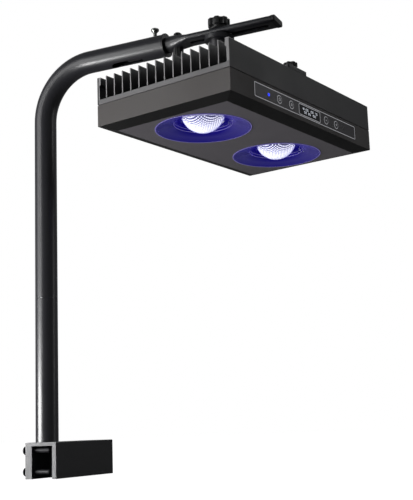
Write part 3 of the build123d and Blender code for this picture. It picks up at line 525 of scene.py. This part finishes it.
def refined(node, width, sharper_than=30.0, segments=2, finish=None):
    """The CAD node's own shape with its sharp edges rounded, as a sprayed or moulded edge is."""
    shape = bmesh.new()
    shape.from_mesh(nodes[node].data)
    bmesh.ops.remove_doubles(shape, verts=shape.verts, dist=2e-6)
    bmesh.ops.dissolve_limit(shape, angle_limit=math.radians(0.6), verts=shape.verts, edges=shape.edges)
    sharp = [edge for edge in shape.edges
             if len(edge.link_faces) == 2 and edge.calc_face_angle(0) > math.radians(sharper_than)]
    bmesh.ops.bevel(shape, geom=sharp, offset=width * MM, segments=segments, affect="EDGES",
                    clamp_overlap=True, profile=0.5)
    made = show(node + "_edged", shape, finish or finishes[slot_of[node]], body_of[node], (node,))
    for polygon in made.data.polygons:
        if polygon.area > WIDE_FACE:
            polygon.use_smooth = False
    return made


# %% [markdown]
# ## Rounded edges
# Sprayed metal and moulded plastic never end in a knife edge. The rounding is what draws the thin light
# line along every corner, so the pieces with long plain edges get a small bevel of their own.

# %% Edged pieces
for node, width in (("clamp_channel", 0.35), ("housing", 0.35), ("crossbar", 0.3), ("control_panel", 0.12),
                    ("star_knob", 0.35), ("crossbar_knob_right", 0.25), ("crossbar_knob_left", 0.25),
                    ("stop_nut", 0.25), ("power_inlet", 0.2)):
    edged = refined(node, width)
    print(edged.name, len(edged.data.polygons), "faces")

# %% [markdown]
# ## The heat sink
# The heat sink is one extrusion: a base plate, a row of thin fins and a thicker plate on either side,
# each side plate with a bead along its top. The fins follow a rule, so Geometry Nodes sets them out:
# a rounded strip is drawn, filled and pulled to length, and the row repeats it at even spacing.

# %% Fin row


def new_tree(name, **sockets):
    tree = bpy.data.node_groups.new(name, "GeometryNodeTree")
    tree.interface.new_socket("Geometry", in_out="INPUT", socket_type="NodeSocketGeometry")
    for label, (kind, value) in sockets.items():
        made = tree.interface.new_socket(label.replace("_", " "), in_out="INPUT",
                                         socket_type="NodeSocket" + kind)
        if value is not None:
            made.default_value = value
    tree.interface.new_socket("Geometry", in_out="OUTPUT", socket_type="NodeSocketGeometry")
    return tree, tree.nodes.new("NodeGroupInput"), tree.nodes.new("NodeGroupOutput")


def grown(name, tree, **values):
    """Runs a Geometry Nodes tree on an empty mesh and gives back the mesh that it makes."""
    seed = bpy.data.objects.new(name + "_seed", bpy.data.meshes.new(name + "_seed"))
    scene.collection.objects.link(seed)
    modifier = seed.modifiers.new(name, "NODES")
    modifier.node_group = tree
    for item in tree.interface.items_tree:
        label = item.name.replace(" ", "_")
        if item.in_out == "INPUT" and label in values:
            modifier[item.identifier] = values[label]
    ready = seed.evaluated_get(bpy.context.evaluated_depsgraph_get())
    mesh = bpy.data.meshes.new_from_object(ready)
    mesh.name = name
    seed.modifiers.remove(modifier)
    bpy.data.objects.remove(seed)
    return mesh


fin_tree, fin_in, fin_out = new_tree(
    "fin_row", Count=("Int", 14), Spacing=("Float", 0.01), Thickness=("Float", 0.0012),
    Height=("Float", 0.02),
    Length=("Float", 0.2), Tip=("Float", 0.0004), Rise=("Float", 0.0), Finish=("Material", None))
fn, fl = fin_tree.nodes, fin_tree.links
strip = fn.new("GeometryNodeCurvePrimitiveQuadrilateral")
fl.new(fin_in.outputs["Thickness"], strip.inputs["Width"])
fl.new(fin_in.outputs["Height"], strip.inputs["Height"])
tip = fn.new("GeometryNodeFilletCurve")
tip.mode = "POLY"
tip.inputs["Count"].default_value = 3
fl.new(strip.outputs[0], tip.inputs["Curve"])
fl.new(fin_in.outputs["Tip"], tip.inputs["Radius"])
filled = fn.new("GeometryNodeFillCurve")
filled.mode = "NGONS"
fl.new(tip.outputs[0], filled.inputs[0])
pulled = fn.new("GeometryNodeExtrudeMesh")
pulled.inputs["Individual"].default_value = False
fl.new(filled.outputs[0], pulled.inputs["Mesh"])
fl.new(fin_in.outputs["Length"], pulled.inputs["Offset Scale"])
far_end = fn.new("GeometryNodeFlipFaces")
fl.new(filled.outputs[0], far_end.inputs[0])
one_fin = fn.new("GeometryNodeJoinGeometry")
fl.new(pulled.outputs["Mesh"], one_fin.inputs[0])
fl.new(far_end.outputs[0], one_fin.inputs[0])
welded = fn.new("GeometryNodeMergeByDistance")
welded.inputs["Distance"].default_value = 1e-6
fl.new(one_fin.outputs[0], welded.inputs[0])
stood = fn.new("GeometryNodeTransform")
stood.inputs["Rotation"].default_value = (math.radians(90), 0, 0)
fl.new(welded.outputs[0], stood.inputs[0])
half_length = fn.new("ShaderNodeMath")
half_length.operation = "MULTIPLY"
half_length.inputs[1].default_value = 0.5
fl.new(fin_in.outputs["Length"], half_length.inputs[0])
fin_shift = fn.new("ShaderNodeCombineXYZ")
fl.new(half_length.outputs[0], fin_shift.inputs["Y"])
fl.new(fin_in.outputs["Rise"], fin_shift.inputs["Z"])
fl.new(fin_shift.outputs[0], stood.inputs["Translation"])
gaps = fn.new("ShaderNodeMath")
gaps.operation = "SUBTRACT"
gaps.inputs[1].default_value = 1
fl.new(fin_in.outputs["Count"], gaps.inputs[0])
row_length = fn.new("ShaderNodeMath")
row_length.operation = "MULTIPLY"
fl.new(gaps.outputs[0], row_length.inputs[0])
fl.new(fin_in.outputs["Spacing"], row_length.inputs[1])
first = fn.new("ShaderNodeMath")
first.operation = "MULTIPLY"
first.inputs[1].default_value = -0.5
fl.new(row_length.outputs[0], first.inputs[0])
first_spot = fn.new("ShaderNodeCombineXYZ")
fl.new(first.outputs[0], first_spot.inputs["X"])
step = fn.new("ShaderNodeCombineXYZ")
fl.new(fin_in.outputs["Spacing"], step.inputs["X"])
row = fn.new("GeometryNodeMeshLine")
fl.new(fin_in.outputs["Count"], row.inputs["Count"])
fl.new(first_spot.outputs[0], row.inputs["Start Location"])
fl.new(step.outputs[0], row.inputs["Offset"])
fins_on_row = fn.new("GeometryNodeInstanceOnPoints")
fl.new(row.outputs[0], fins_on_row.inputs["Points"])
fl.new(stood.outputs[0], fins_on_row.inputs["Instance"])
fins_real = fn.new("GeometryNodeRealizeInstances")
fl.new(fins_on_row.outputs[0], fins_real.inputs[0])
fins_painted = fn.new("GeometryNodeSetMaterial")
fl.new(fins_real.outputs[0], fins_painted.inputs[0])
fl.new(fin_in.outputs["Finish"], fins_painted.inputs["Material"])
fl.new(fins_painted.outputs[0], fin_out.inputs[0])

lamp_width, lamp_length = sink_high.x - sink_low.x, sink_high.y - sink_low.y
base_rise, base_thick = sink_low.z, 5.0 * MM
side_plate, fin_thick, fin_count = 3.0 * MM, 1.2 * MM, 14
bead_wide, bead_high = 4.4 * MM, 8.0 * MM
fin_spacing = (lamp_width - side_plate) / (fin_count + 1)
fin_foot = base_rise + base_thick - 0.5 * MM
fin_height = sink_high.z - fin_foot
fin_mesh = grown("fin_row", fin_tree, Count=fin_count, Spacing=fin_spacing, Thickness=fin_thick,
                 Height=fin_height, Length=lamp_length, Tip=0.42 * MM, Rise=fin_foot + fin_height / 2,
                 Finish=sink_finish)
print("fins:", fin_count, "spacing", round(fin_spacing / MM, 2), "mm")

# %% Heat sink piece


def pull_outline(shape, outline, low_y, high_y):
    """A prism along Y of an outline in x and z, in metres."""
    near = [shape.verts.new((x, low_y, z)) for x, z in outline]
    far = [shape.verts.new((x, high_y, z)) for x, z in outline]
    shape.faces.new(near)
    shape.faces.new(list(reversed(far)))
    for i in range(len(outline)):
        j = (i + 1) % len(outline)
        shape.faces.new((near[j], near[i], far[i], far[j]))


sink = bmesh.new()
sink.from_mesh(fin_mesh)
half = lamp_width / 2
base_top, top_z = base_rise + base_thick, sink_high.z
cut = 0.35 * MM
foot = 0.8 * MM
tray = [(-half + cut, base_rise), (half - cut, base_rise), (half, base_rise + cut), (half, top_z - cut),
        (half - cut, top_z), (half - bead_wide + cut, top_z), (half - bead_wide, top_z - cut),
        (half - bead_wide, top_z - bead_high + cut), (half - bead_wide + cut, top_z - bead_high),
        (half - side_plate, top_z - bead_high - 0.5 * MM), (half - side_plate, base_top + foot),
        (half - side_plate - foot, base_top)]
tray += [(-x, z) for x, z in reversed(tray[2:])] + [(-half, base_rise + cut)]
tray = list(dict.fromkeys(tray))
pull_outline(sink, tray, -lamp_length / 2, lamp_length / 2)
show("finned_heat_sink", sink, sink_finish, body_of["heat_sink"], ("heat_sink",), lamp_place)

# %% [markdown]
# ## Reflector cups and lenses
# Each reflector is a turned plastic cup: a shallow blue bowl, then a deep well with fine steps in its
# wall, with thin painted highlight rings round its mouth and on two steps. The lens in the well is a glass
# dome. Its inner face is covered with small beads that spread the light, and the clear glass outside them
# is a shell of painted glints that glows only where it is seen edge on. The beads sit in a staggered grid
# that is wrapped onto the dome, which Geometry Nodes does from one flat grid.

# %% Lens finishes
lamp_centres = []
for node in ("lens_1", "lens_2"):
    low, high = lamp_span(node)
    lamp_centres.append(((low.x + high.x) / 2 / MM, (low.y + high.y) / 2 / MM))
ball_radius, ball_middle = 23.0, 18.8     # the glass dome, and its middle above the lamp's bottom
bead_ball = 22.1
dome_neck = 22.6                          # where the dome meets its flange
ink_thick = 0.06

bead_finish = grained("lens_beads", (0.62, 0.64, 0.80), (0.90, 0.91, 1.0), 0.25, 0.4, 900, 0.05,
                      Emission_Color=(0.88, 0.88, 1.0, 1), Emission_Strength=0.95)
core_finish = grained("lens_core", (0.05, 0.05, 0.20), (0.10, 0.10, 0.30), 0.2, 0.3, 900, 0.05,
                      Emission_Color=(0.20, 0.20, 0.55, 1), Emission_Strength=0.05)
# Painted glints: the shell glows violet only where it is seen edge on, standing in for light glancing off the
# clear glass.
glint_shell_finish = grained("lens_shell", (0.55, 0.56, 0.95), (0.85, 0.86, 1.0), 0.04, 0.1, 260, 0.6,
                       Emission_Color=(0.35, 0.33, 1.0, 1), Emission_Strength=0.35)
# Painted highlight: these thin glowing violet rings stand for light caught on the cup's lip and steps.
highlight_rim_finish = grained("pale_rim", (0.16, 0.13, 0.42), (0.30, 0.26, 0.60), 0.2, 0.3, 900, 0.05,
                     Emission_Color=(0.4, 0.35, 0.9, 1), Emission_Strength=0.22)
shell_tree = glint_shell_finish.node_tree
edge_on = shell_tree.nodes.new("ShaderNodeLayerWeight")
edge_on.inputs["Blend"].default_value = 0.35
rim_only = shell_tree.nodes.new("ShaderNodeMapRange")
rim_only.inputs["From Min"].default_value = 0.35
rim_only.inputs["From Max"].default_value = 0.8
rim_only.inputs["To Min"].default_value = 0.0
rim_only.inputs["To Max"].default_value = 0.85
shell_tree.links.new(edge_on.outputs["Facing"], rim_only.inputs["Value"])
shell_tree.links.new(rim_only.outputs["Result"], shell_tree.nodes["Principled BSDF"].inputs["Alpha"])

# %% Beads by rule
bead_tree, bead_in, bead_out = new_tree(
    "lens_beads", Pitch=("Float", 0.0012), Field=("Float", 0.018), Ball=("Float", 0.02),
    Middle=("Float", 0.018),
    Bead=("Float", 0.0006), Finish=("Material", None))
bn, bl = bead_tree.nodes, bead_tree.links


def reckon(nodes_of, links_of, operation, first, second=None):
    """One arithmetic step between sockets or plain numbers."""
    made = nodes_of.new("ShaderNodeMath")
    made.operation = operation
    for i, value in enumerate((first, second)):
        if value is None:
            continue
        if isinstance(value, (int, float)):
            made.inputs[i].default_value = value
        else:
            links_of.new(value, made.inputs[i])
    return made.outputs[0]


def rule(operation, first, second=None):
    return reckon(bn, bl, operation, first, second)


field_width = rule("MULTIPLY", bead_in.outputs["Field"], 2)
columns = rule("ADD", rule("CEIL", rule("DIVIDE", field_width, bead_in.outputs["Pitch"])), 1)
row_pitch = rule("MULTIPLY", bead_in.outputs["Pitch"], math.sqrt(3) / 2)
rows = rule("ADD", rule("CEIL", rule("DIVIDE", field_width, row_pitch)), 1)
bead_grid = bn.new("GeometryNodeMeshGrid")
bl.new(rule("MULTIPLY", bead_in.outputs["Pitch"], rule("SUBTRACT", columns, 1)), bead_grid.inputs["Size X"])
bl.new(rule("MULTIPLY", row_pitch, rule("SUBTRACT", rows, 1)), bead_grid.inputs["Size Y"])
bl.new(columns, bead_grid.inputs["Vertices X"])
bl.new(rows, bead_grid.inputs["Vertices Y"])
flat_spot = bn.new("GeometryNodeInputPosition")
flat_parts = bn.new("ShaderNodeSeparateXYZ")
bl.new(flat_spot.outputs[0], flat_parts.inputs[0])
row_number = rule("ROUND", rule("DIVIDE", flat_parts.outputs["Y"], row_pitch))
stagger = rule("MULTIPLY", rule("PINGPONG", row_number, 1), rule("MULTIPLY", bead_in.outputs["Pitch"], 0.5))
moved_x = rule("ADD", flat_parts.outputs["X"], stagger)
flat_y = flat_parts.outputs["Y"]
square = rule("ADD", rule("MULTIPLY", moved_x, moved_x), rule("MULTIPLY", flat_y, flat_y))
out_from_middle = rule("SQRT", square)
ball_square = rule("MULTIPLY", bead_in.outputs["Ball"], bead_in.outputs["Ball"])
drop = rule("SQRT", rule("MAXIMUM", rule("SUBTRACT", ball_square, square), 0))
wrapped_z = rule("SUBTRACT", bead_in.outputs["Middle"], drop)
wrapped = bn.new("ShaderNodeCombineXYZ")
bl.new(moved_x, wrapped.inputs["X"])
bl.new(flat_parts.outputs["Y"], wrapped.inputs["Y"])
bl.new(wrapped_z, wrapped.inputs["Z"])
kept = bn.new("GeometryNodeDeleteGeometry")
kept.domain = "POINT"
bl.new(bead_grid.outputs["Mesh"], kept.inputs["Geometry"])
beyond = bn.new("FunctionNodeCompare")
beyond.data_type = "FLOAT"
beyond.operation = "GREATER_THAN"
bl.new(out_from_middle, beyond.inputs["A"])
bl.new(bead_in.outputs["Field"], beyond.inputs["B"])
bl.new(beyond.outputs[0], kept.inputs["Selection"])
placed = bn.new("GeometryNodeSetPosition")
bl.new(kept.outputs[0], placed.inputs["Geometry"])
bl.new(wrapped.outputs[0], placed.inputs["Position"])
bead_ball_node = bn.new("GeometryNodeMeshIcoSphere")
bead_ball_node.inputs["Subdivisions"].default_value = 2
bl.new(bead_in.outputs["Bead"], bead_ball_node.inputs["Radius"])
beads_on = bn.new("GeometryNodeInstanceOnPoints")
bl.new(placed.outputs[0], beads_on.inputs["Points"])
bl.new(bead_ball_node.outputs["Mesh"], beads_on.inputs["Instance"])
beads_real = bn.new("GeometryNodeRealizeInstances")
bl.new(beads_on.outputs[0], beads_real.inputs[0])
beads_painted = bn.new("GeometryNodeSetMaterial")
bl.new(beads_real.outputs[0], beads_painted.inputs[0])
bl.new(bead_in.outputs["Finish"], beads_painted.inputs["Material"])
bl.new(beads_painted.outputs[0], bead_out.inputs[0])

# %% Cups and lenses
# outer radius, height, width and thickness of the painted highlight lines: round the mouth, and two in the
# well
HIGHLIGHT_RIMS = ((48.75, -0.46, 0.75, 0.3), (29.45, 7.6, 0.35, 0.35), (29.9, 4.9, 0.4, 0.35))

for number, centre in enumerate(lamp_centres, start=1):
    tag = "_" + str(number)
    cup = bmesh.new()
    wall_steps = []
    for i, height in enumerate((5.4, 7.6, 9.8)):
        narrower = 0.25 * i
        wall_steps += [(29.75 - narrower, height - 0.35), (29.35 - narrower, height),
                       (29.5 - narrower, height + 0.5)]
    outline = [(23.1, 14.2), (23.1, 13.0), (29.0, 13.0), *wall_steps[::-1], (30.0, 4.5), (30.4, 4.1),
               (38.0, 2.05), (45.9, 0.05), (46.5, -0.25), (46.9, -0.4), (48.4, -0.4), (48.8, -0.2),
               (48.8, 0.0), (47.2, 0.0), (47.2, 1.6), (31.6, 5.8), (31.6, 12.6), (37.0, 12.6), (37.0, 14.2)]
    lathe(cup, outline + outline[:1], 128, centre)
    cup_node = "reflector_cup" + tag
    show("blue_reflector" + tag, cup, cup_painted_glow_finish, body_of[cup_node], (cup_node,), lamp_place)
    rims = bmesh.new()
    for radius, height, width, thick in HIGHLIGHT_RIMS:
        ring_section = [(radius, height), (radius, height + thick), (radius - width, height + thick),
                        (radius - width, height), (radius, height)]
        lathe(rims, ring_section, 128, centre)
    show("pale_rims" + tag, rims, highlight_rim_finish, body_of[cup_node], (), lamp_place)

    # The glass shell carries only the painted glints.
    shell = bmesh.new()
    neck_angle = math.degrees(math.asin(dome_neck / ball_radius))
    dome = [(ball_radius * math.sin(math.radians(neck_angle * i / 20)),
             ball_middle - ball_radius * math.cos(math.radians(neck_angle * i / 20))) for i in range(21)]
    lathe(shell, dome, 96, centre)
    show("lens_glass" + tag, shell, glint_shell_finish, body_of["lens" + tag], (), lamp_place)

    core = bmesh.new()
    core_ball = bead_ball - 0.25
    inner = [(core_ball * math.sin(math.radians(78 * i / 16)),
              ball_middle - core_ball * math.cos(math.radians(78 * i / 16))) for i in range(17)]
    back = [(33.0, 14.8), (33.0, 16.8), (0.0, 16.8)]
    lathe(core, inner + back, 96, centre)
    show("lens_body" + tag, core, core_finish, body_of["lens" + tag], ("lens" + tag,), lamp_place)

    bead_mesh = grown("beads" + tag, bead_tree, Pitch=1.9 * MM, Field=21.5 * MM, Ball=bead_ball * MM,
                      Middle=ball_middle * MM, Bead=0.76 * MM, Finish=bead_finish)
    bead_mesh.transform(lamp_place @ Matrix.Translation((centre[0] * MM, centre[1] * MM, 0)))
    show("lens_beads" + tag, bead_mesh, None, body_of["lens" + tag], smooth_below=180)
    print("lens", number, "has", len(bead_mesh.polygons) // 80, "beads")

# %% [markdown]
# ## Printed panel
# The panel is a dark film with thin printed lines: a frame along its edge, a ring and a sign on each key,
# and a frame round the display. A print is a raised layer of ink, so each line is a very thin ribbon that
# lies on the film. The signs on the keys ride on the keys themselves.

# %% Print makers
panel_low, panel_high = lamp_span("control_panel")
film = panel_high.x / MM
panel_place = lamp_place @ Matrix(((0, 0, 1), (1, 0, 0), (0, 1, 0))).to_4x4()
# The ink is light grey print; its faint emission is a painted glow, for printed ink is no lamp.
glowing_ink = grained("panel_ink", (0.42, 0.42, 0.44), (0.58, 0.58, 0.60), 0.45, 0.6, 2500, 0.1,
              Emission_Color=(0.8, 0.8, 0.85, 1), Emission_Strength=0.28)
glow = grained("display_segments", (0.75, 0.78, 0.82), (0.9, 0.92, 0.95), 0.3, 0.4, 2500, 0.05,
               Emission_Color=(0.85, 0.9, 1.0, 1), Emission_Strength=0.5)


def ribbon(shape, path, width, low, high, closed=True):
    """A printed line along (across, up) points in millimetres, on a film at height low."""
    count = len(path)
    rims = []
    for i, point in enumerate(path):
        here = Vector(point)
        last_one = i == count - 1 and not closed
        after = here - Vector(path[i - 1]) if last_one else Vector(path[(i + 1) % count]) - here
        before = here - Vector(path[i - 1]) if closed or i > 0 else after
        side = (before.normalized() + after.normalized()).normalized()
        side = Vector((-side.y, side.x)) * (width / 2 / max(0.4, side.dot(after.normalized())))
        section = ((here + side, low), (here + side, high), (here - side, high), (here - side, low))
        rims.append([shape.verts.new((p.x * MM, p.y * MM, h * MM)) for p, h in section])
    for i in range(count if closed else count - 1):
        a, b = rims[i], rims[(i + 1) % count]
        for k in range(4):
            shape.faces.new((a[k], b[k], b[(k + 1) % 4], a[(k + 1) % 4]))
    if not closed:
        shape.faces.new(rims[0])
        shape.faces.new(rims[-1][::-1])


def rounded_box(middle, width, height, corner, steps=5):
    x, y = width / 2 - corner, height / 2 - corner
    points = []
    for cx, cy, start in ((x, y, 0), (-x, y, 90), (-x, -y, 180), (x, -y, 270)):
        points += arc((middle[0] + cx, middle[1] + cy), corner, start, start + 90, steps)
    return points


# %% Panel prints
panel_middle = ((panel_low.y + panel_high.y) / 2 / MM, (panel_low.z + panel_high.z) / 2 / MM)
panel_size = ((panel_high.y - panel_low.y) / MM, (panel_high.z - panel_low.z) / MM)
display_low, display_high = lamp_span("display_module")
display_middle = ((display_low.y + display_high.y) / 2 / MM, (display_low.z + display_high.z) / 2 / MM)
display_size = ((display_high.y - display_low.y) / MM, (display_high.z - display_low.z) / MM)
lines = bmesh.new()
panel_frame = rounded_box(panel_middle, panel_size[0] - 1.2, panel_size[1] - 1.2, 0.9)
display_frame = rounded_box(display_middle, display_size[0] + 1.6, display_size[1] + 1.0, 1.8)
ribbon(lines, panel_frame, 0.6, film, film + ink_thick)
ribbon(lines, display_frame, 0.55, film, film + ink_thick)
show("panel_lines", lines, glowing_ink, "lamp", place=panel_place)

rings = bmesh.new()
for name in ("power", "mode", "down", "up"):
    low, high = lamp_span("button_" + name)
    spot = ((low.y + high.y) / 2 / MM, (low.z + high.z) / 2 / MM)
    cap = high.x / MM
    sign = bmesh.new()
    ribbon(rings, arc(spot, 3.9, 0, 351, 40), 0.6, film, film + ink_thick)
    if name == "power":
        ribbon(sign, arc(spot, 1.45, 125, 415, 20), 0.4, cap, cap + ink_thick, closed=False)
        stroke = [(spot[0], spot[1] + 0.3), (spot[0], spot[1] + 2.0)]
        ribbon(sign, stroke, 0.4, cap, cap + ink_thick, closed=False)
    if name == "mode":
        for rise in (-1.1, 0, 1.1):
            bar = [(spot[0] - 1.5, spot[1] + rise), (spot[0] + 1.5, spot[1] + rise)]
            ribbon(sign, bar, 0.4, cap, cap + ink_thick, closed=False)
    if name in ("down", "up"):
        bar = [(spot[0] - 1.4, spot[1]), (spot[0] + 1.4, spot[1])]
        ribbon(sign, bar, 0.45, cap, cap + ink_thick, closed=False)
    if name == "up":
        for side in (-1, 1):
            ribbon(sign, [(spot[0], spot[1] + side * 0.24), (spot[0], spot[1] + side * 1.4)], 0.45, cap,
                   cap + ink_thick, closed=False)
    show("key_sign_" + name, sign, glowing_ink, "button_" + name, place=panel_place)
    print("key", name, "is", [round((high - low)[k] / MM, 2) for k in range(3)])
show("key_rings", rings, glowing_ink, "lamp", place=panel_place)

# %% [markdown]
# ## Display
# A small display like this lights numbers made of seven bars. One rule draws every digit: the table
# says which bars are lit, and the bars are laid out from the digit's width and height.

# %% Display numbers
LIT = {"0": "abcdef", "1": "bc", "2": "abged", "3": "abgcd", "4": "fgbc", "5": "afgcd", "6": "afgedc",
       "7": "abc", "8": "abcdefg", "9": "abcdfg"}


def digit(shape, text, left, foot, width, height, thick, low, high):
    for i, sign in enumerate(text):
        x = left + i * width * 1.42
        right_x, middle_y, top_y = x + width, foot + height / 2, foot + height
        ends = {"a": ((x, top_y), (right_x, top_y)), "d": ((x, foot), (right_x, foot)),
                "g": ((x, middle_y), (right_x, middle_y)), "f": ((x, middle_y), (x, top_y)),
                "b": ((right_x, middle_y), (right_x, top_y)), "e": ((x, foot), (x, middle_y)),
                "c": ((right_x, foot), (right_x, middle_y))}
        if sign == ":":
            for rise in (0.3, 0.7):
                dot_y = foot + height * rise
                dot = [(x + width * 0.3, dot_y), (x + width * 0.6, dot_y)]
                ribbon(shape, dot, thick * 1.3, low, high, closed=False)
        for bar in LIT.get(sign, ""):
            a, b = Vector(ends[bar][0]), Vector(ends[bar][1])
            inset = (b - a).normalized() * thick * 0.35
            ribbon(shape, [a + inset, b - inset], thick, low, high, closed=False)


numbers = bmesh.new()
screen_face = display_high.x / MM
digit(numbers, "12:05 100 75", display_middle[0] - 15.0, display_middle[1] + 0.75, 1.8, 1.9, 0.5, screen_face,
      screen_face + 0.05)
digit(numbers, "50 25 100", display_middle[0] - 10.8, display_middle[1] - 2.6, 1.8, 1.9, 0.5, screen_face,
      screen_face + 0.05)
show("display_numbers", numbers, glow, "lamp", place=panel_place)

# %% [markdown]
# ## Small turned pieces
# The thumbscrew's head is knurled so that fingers can turn it, and the indicator is a small clear dome.
# The knurl repeats round an axis, so Geometry Nodes sets its ridges out in a ring.

# %% Ridges round an axis
ring_tree, ring_in, ring_out = new_tree(
    "ridges", Count=("Int", 24), Radius=("Float", 0.004), Wide=("Float", 0.0005), Tall=("Float", 0.002),
    Rise=("Float", 0.0), Finish=("Material", None))
rn, rl = ring_tree.nodes, ring_tree.links
ring = rn.new("GeometryNodeMeshCircle")
rl.new(ring_in.outputs["Count"], ring.inputs["Vertices"])
rl.new(ring_in.outputs["Radius"], ring.inputs["Radius"])
ridge = rn.new("GeometryNodeMeshCylinder")
ridge.inputs["Vertices"].default_value = 8
rl.new(reckon(rn, rl, "MULTIPLY", ring_in.outputs["Wide"], 0.5), ridge.inputs["Radius"])
rl.new(ring_in.outputs["Tall"], ridge.inputs["Depth"])
ridges_on = rn.new("GeometryNodeInstanceOnPoints")
rl.new(ring.outputs[0], ridges_on.inputs["Points"])
rl.new(ridge.outputs["Mesh"], ridges_on.inputs["Instance"])
lifted = rn.new("GeometryNodeTransform")
lift = rn.new("ShaderNodeCombineXYZ")
rl.new(ring_in.outputs["Rise"], lift.inputs["Z"])
rl.new(ridges_on.outputs[0], lifted.inputs[0])
rl.new(lift.outputs[0], lifted.inputs["Translation"])
ridges_real = rn.new("GeometryNodeRealizeInstances")
rl.new(lifted.outputs[0], ridges_real.inputs[0])
ridges_painted = rn.new("GeometryNodeSetMaterial")
rl.new(ridges_real.outputs[0], ridges_painted.inputs[0])
rl.new(ring_in.outputs["Finish"], ridges_painted.inputs["Material"])
rl.new(ridges_painted.outputs[0], ring_out.inputs[0])

screw_low, screw_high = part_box("thumbscrew")
screw_axis = ((screw_low.x + screw_high.x) / 2, (screw_low.y + screw_high.y) / 2)
ridge_mesh = grown("knurl", ring_tree, Count=26, Radius=4.05 * MM, Wide=0.62 * MM, Tall=2.0 * MM,
                   Rise=screw_high.z - 2.6 * MM, Finish=finishes["thumbscrew_steel"])
knurled = bmesh.new()
knurled.from_mesh(ridge_mesh)
knurled.transform(Matrix.Translation((screw_axis[0], screw_axis[1], 0)))
show("thumbscrew_knurl", knurled, finishes["thumbscrew_steel"], "thumbscrew")

indicator_low, indicator_high = lamp_span("indicator_light")
indicator_spot = ((indicator_low.y + indicator_high.y) / 2 / MM,
                  (indicator_low.z + indicator_high.z) / 2 / MM)
bulb = bmesh.new()
bulb_outline = [(1.6, film - 0.1), (1.6, film), (1.45, film + 0.3), (1.0, film + 0.6),
                (0.5, film + 0.75), (0, film + 0.8)]
lathe(bulb, bulb_outline, 32, indicator_spot)
show("indicator_dome", bulb, finishes["indicator_blue"], "lamp", place=panel_place)

receiver_low, receiver_high = lamp_span("remote_receiver")
receiver_spot = ((receiver_low.y + receiver_high.y) / 2 / MM, (receiver_low.z + receiver_high.z) / 2 / MM)
window = bmesh.new()
window_outline = [(1.75, film - 0.1), (1.75, film + 0.04), (1.6, film + 0.08), (0, film + 0.08)]
lathe(window, window_outline, 32, receiver_spot)
show("receiver_window", window, finishes["receiver_dark"], "lamp", place=panel_place)

# %% [markdown]
# ## Floor
# The light hangs over a plain pale floor. It is as bright as the backdrop wherever the camera sees it, so
# no horizon shows, and for every other ray it is an ordinary matt surface that sends light back up. It is
# solid from both sides, so a camera below it sees only the floor.

# %% Pale floor
floor_shape = bmesh.new()
floor_height = -0.0362                # just under the clamp
for x, y in ((-4, -4), (4, -4), (4, 6), (-4, 6)):
    floor_shape.verts.new((x, y, floor_height))
floor_shape.faces.new(floor_shape.verts)
floor_mesh = bpy.data.meshes.new("floor")
floor_shape.to_mesh(floor_mesh)
floor_shape.free()
floor_paint = grained("floor_paint", (0.16, 0.16, 0.16), (0.20, 0.20, 0.20), 0.8, 0.9, 300, 0.02)
floor_tree = floor_paint.node_tree
floor_ray = floor_tree.nodes.new("ShaderNodeLightPath")
floor_surface = floor_tree.nodes["Principled BSDF"]
floor_tree.links.new(floor_ray.outputs["Is Camera Ray"], floor_surface.inputs["Emission Strength"])
floor_surface.inputs["Emission Color"].default_value = (1, 1, 1, 1)
floor_mesh.materials.append(floor_paint)
floor = bpy.data.objects.new("floor", floor_mesh)
scene.collection.objects.link(floor)
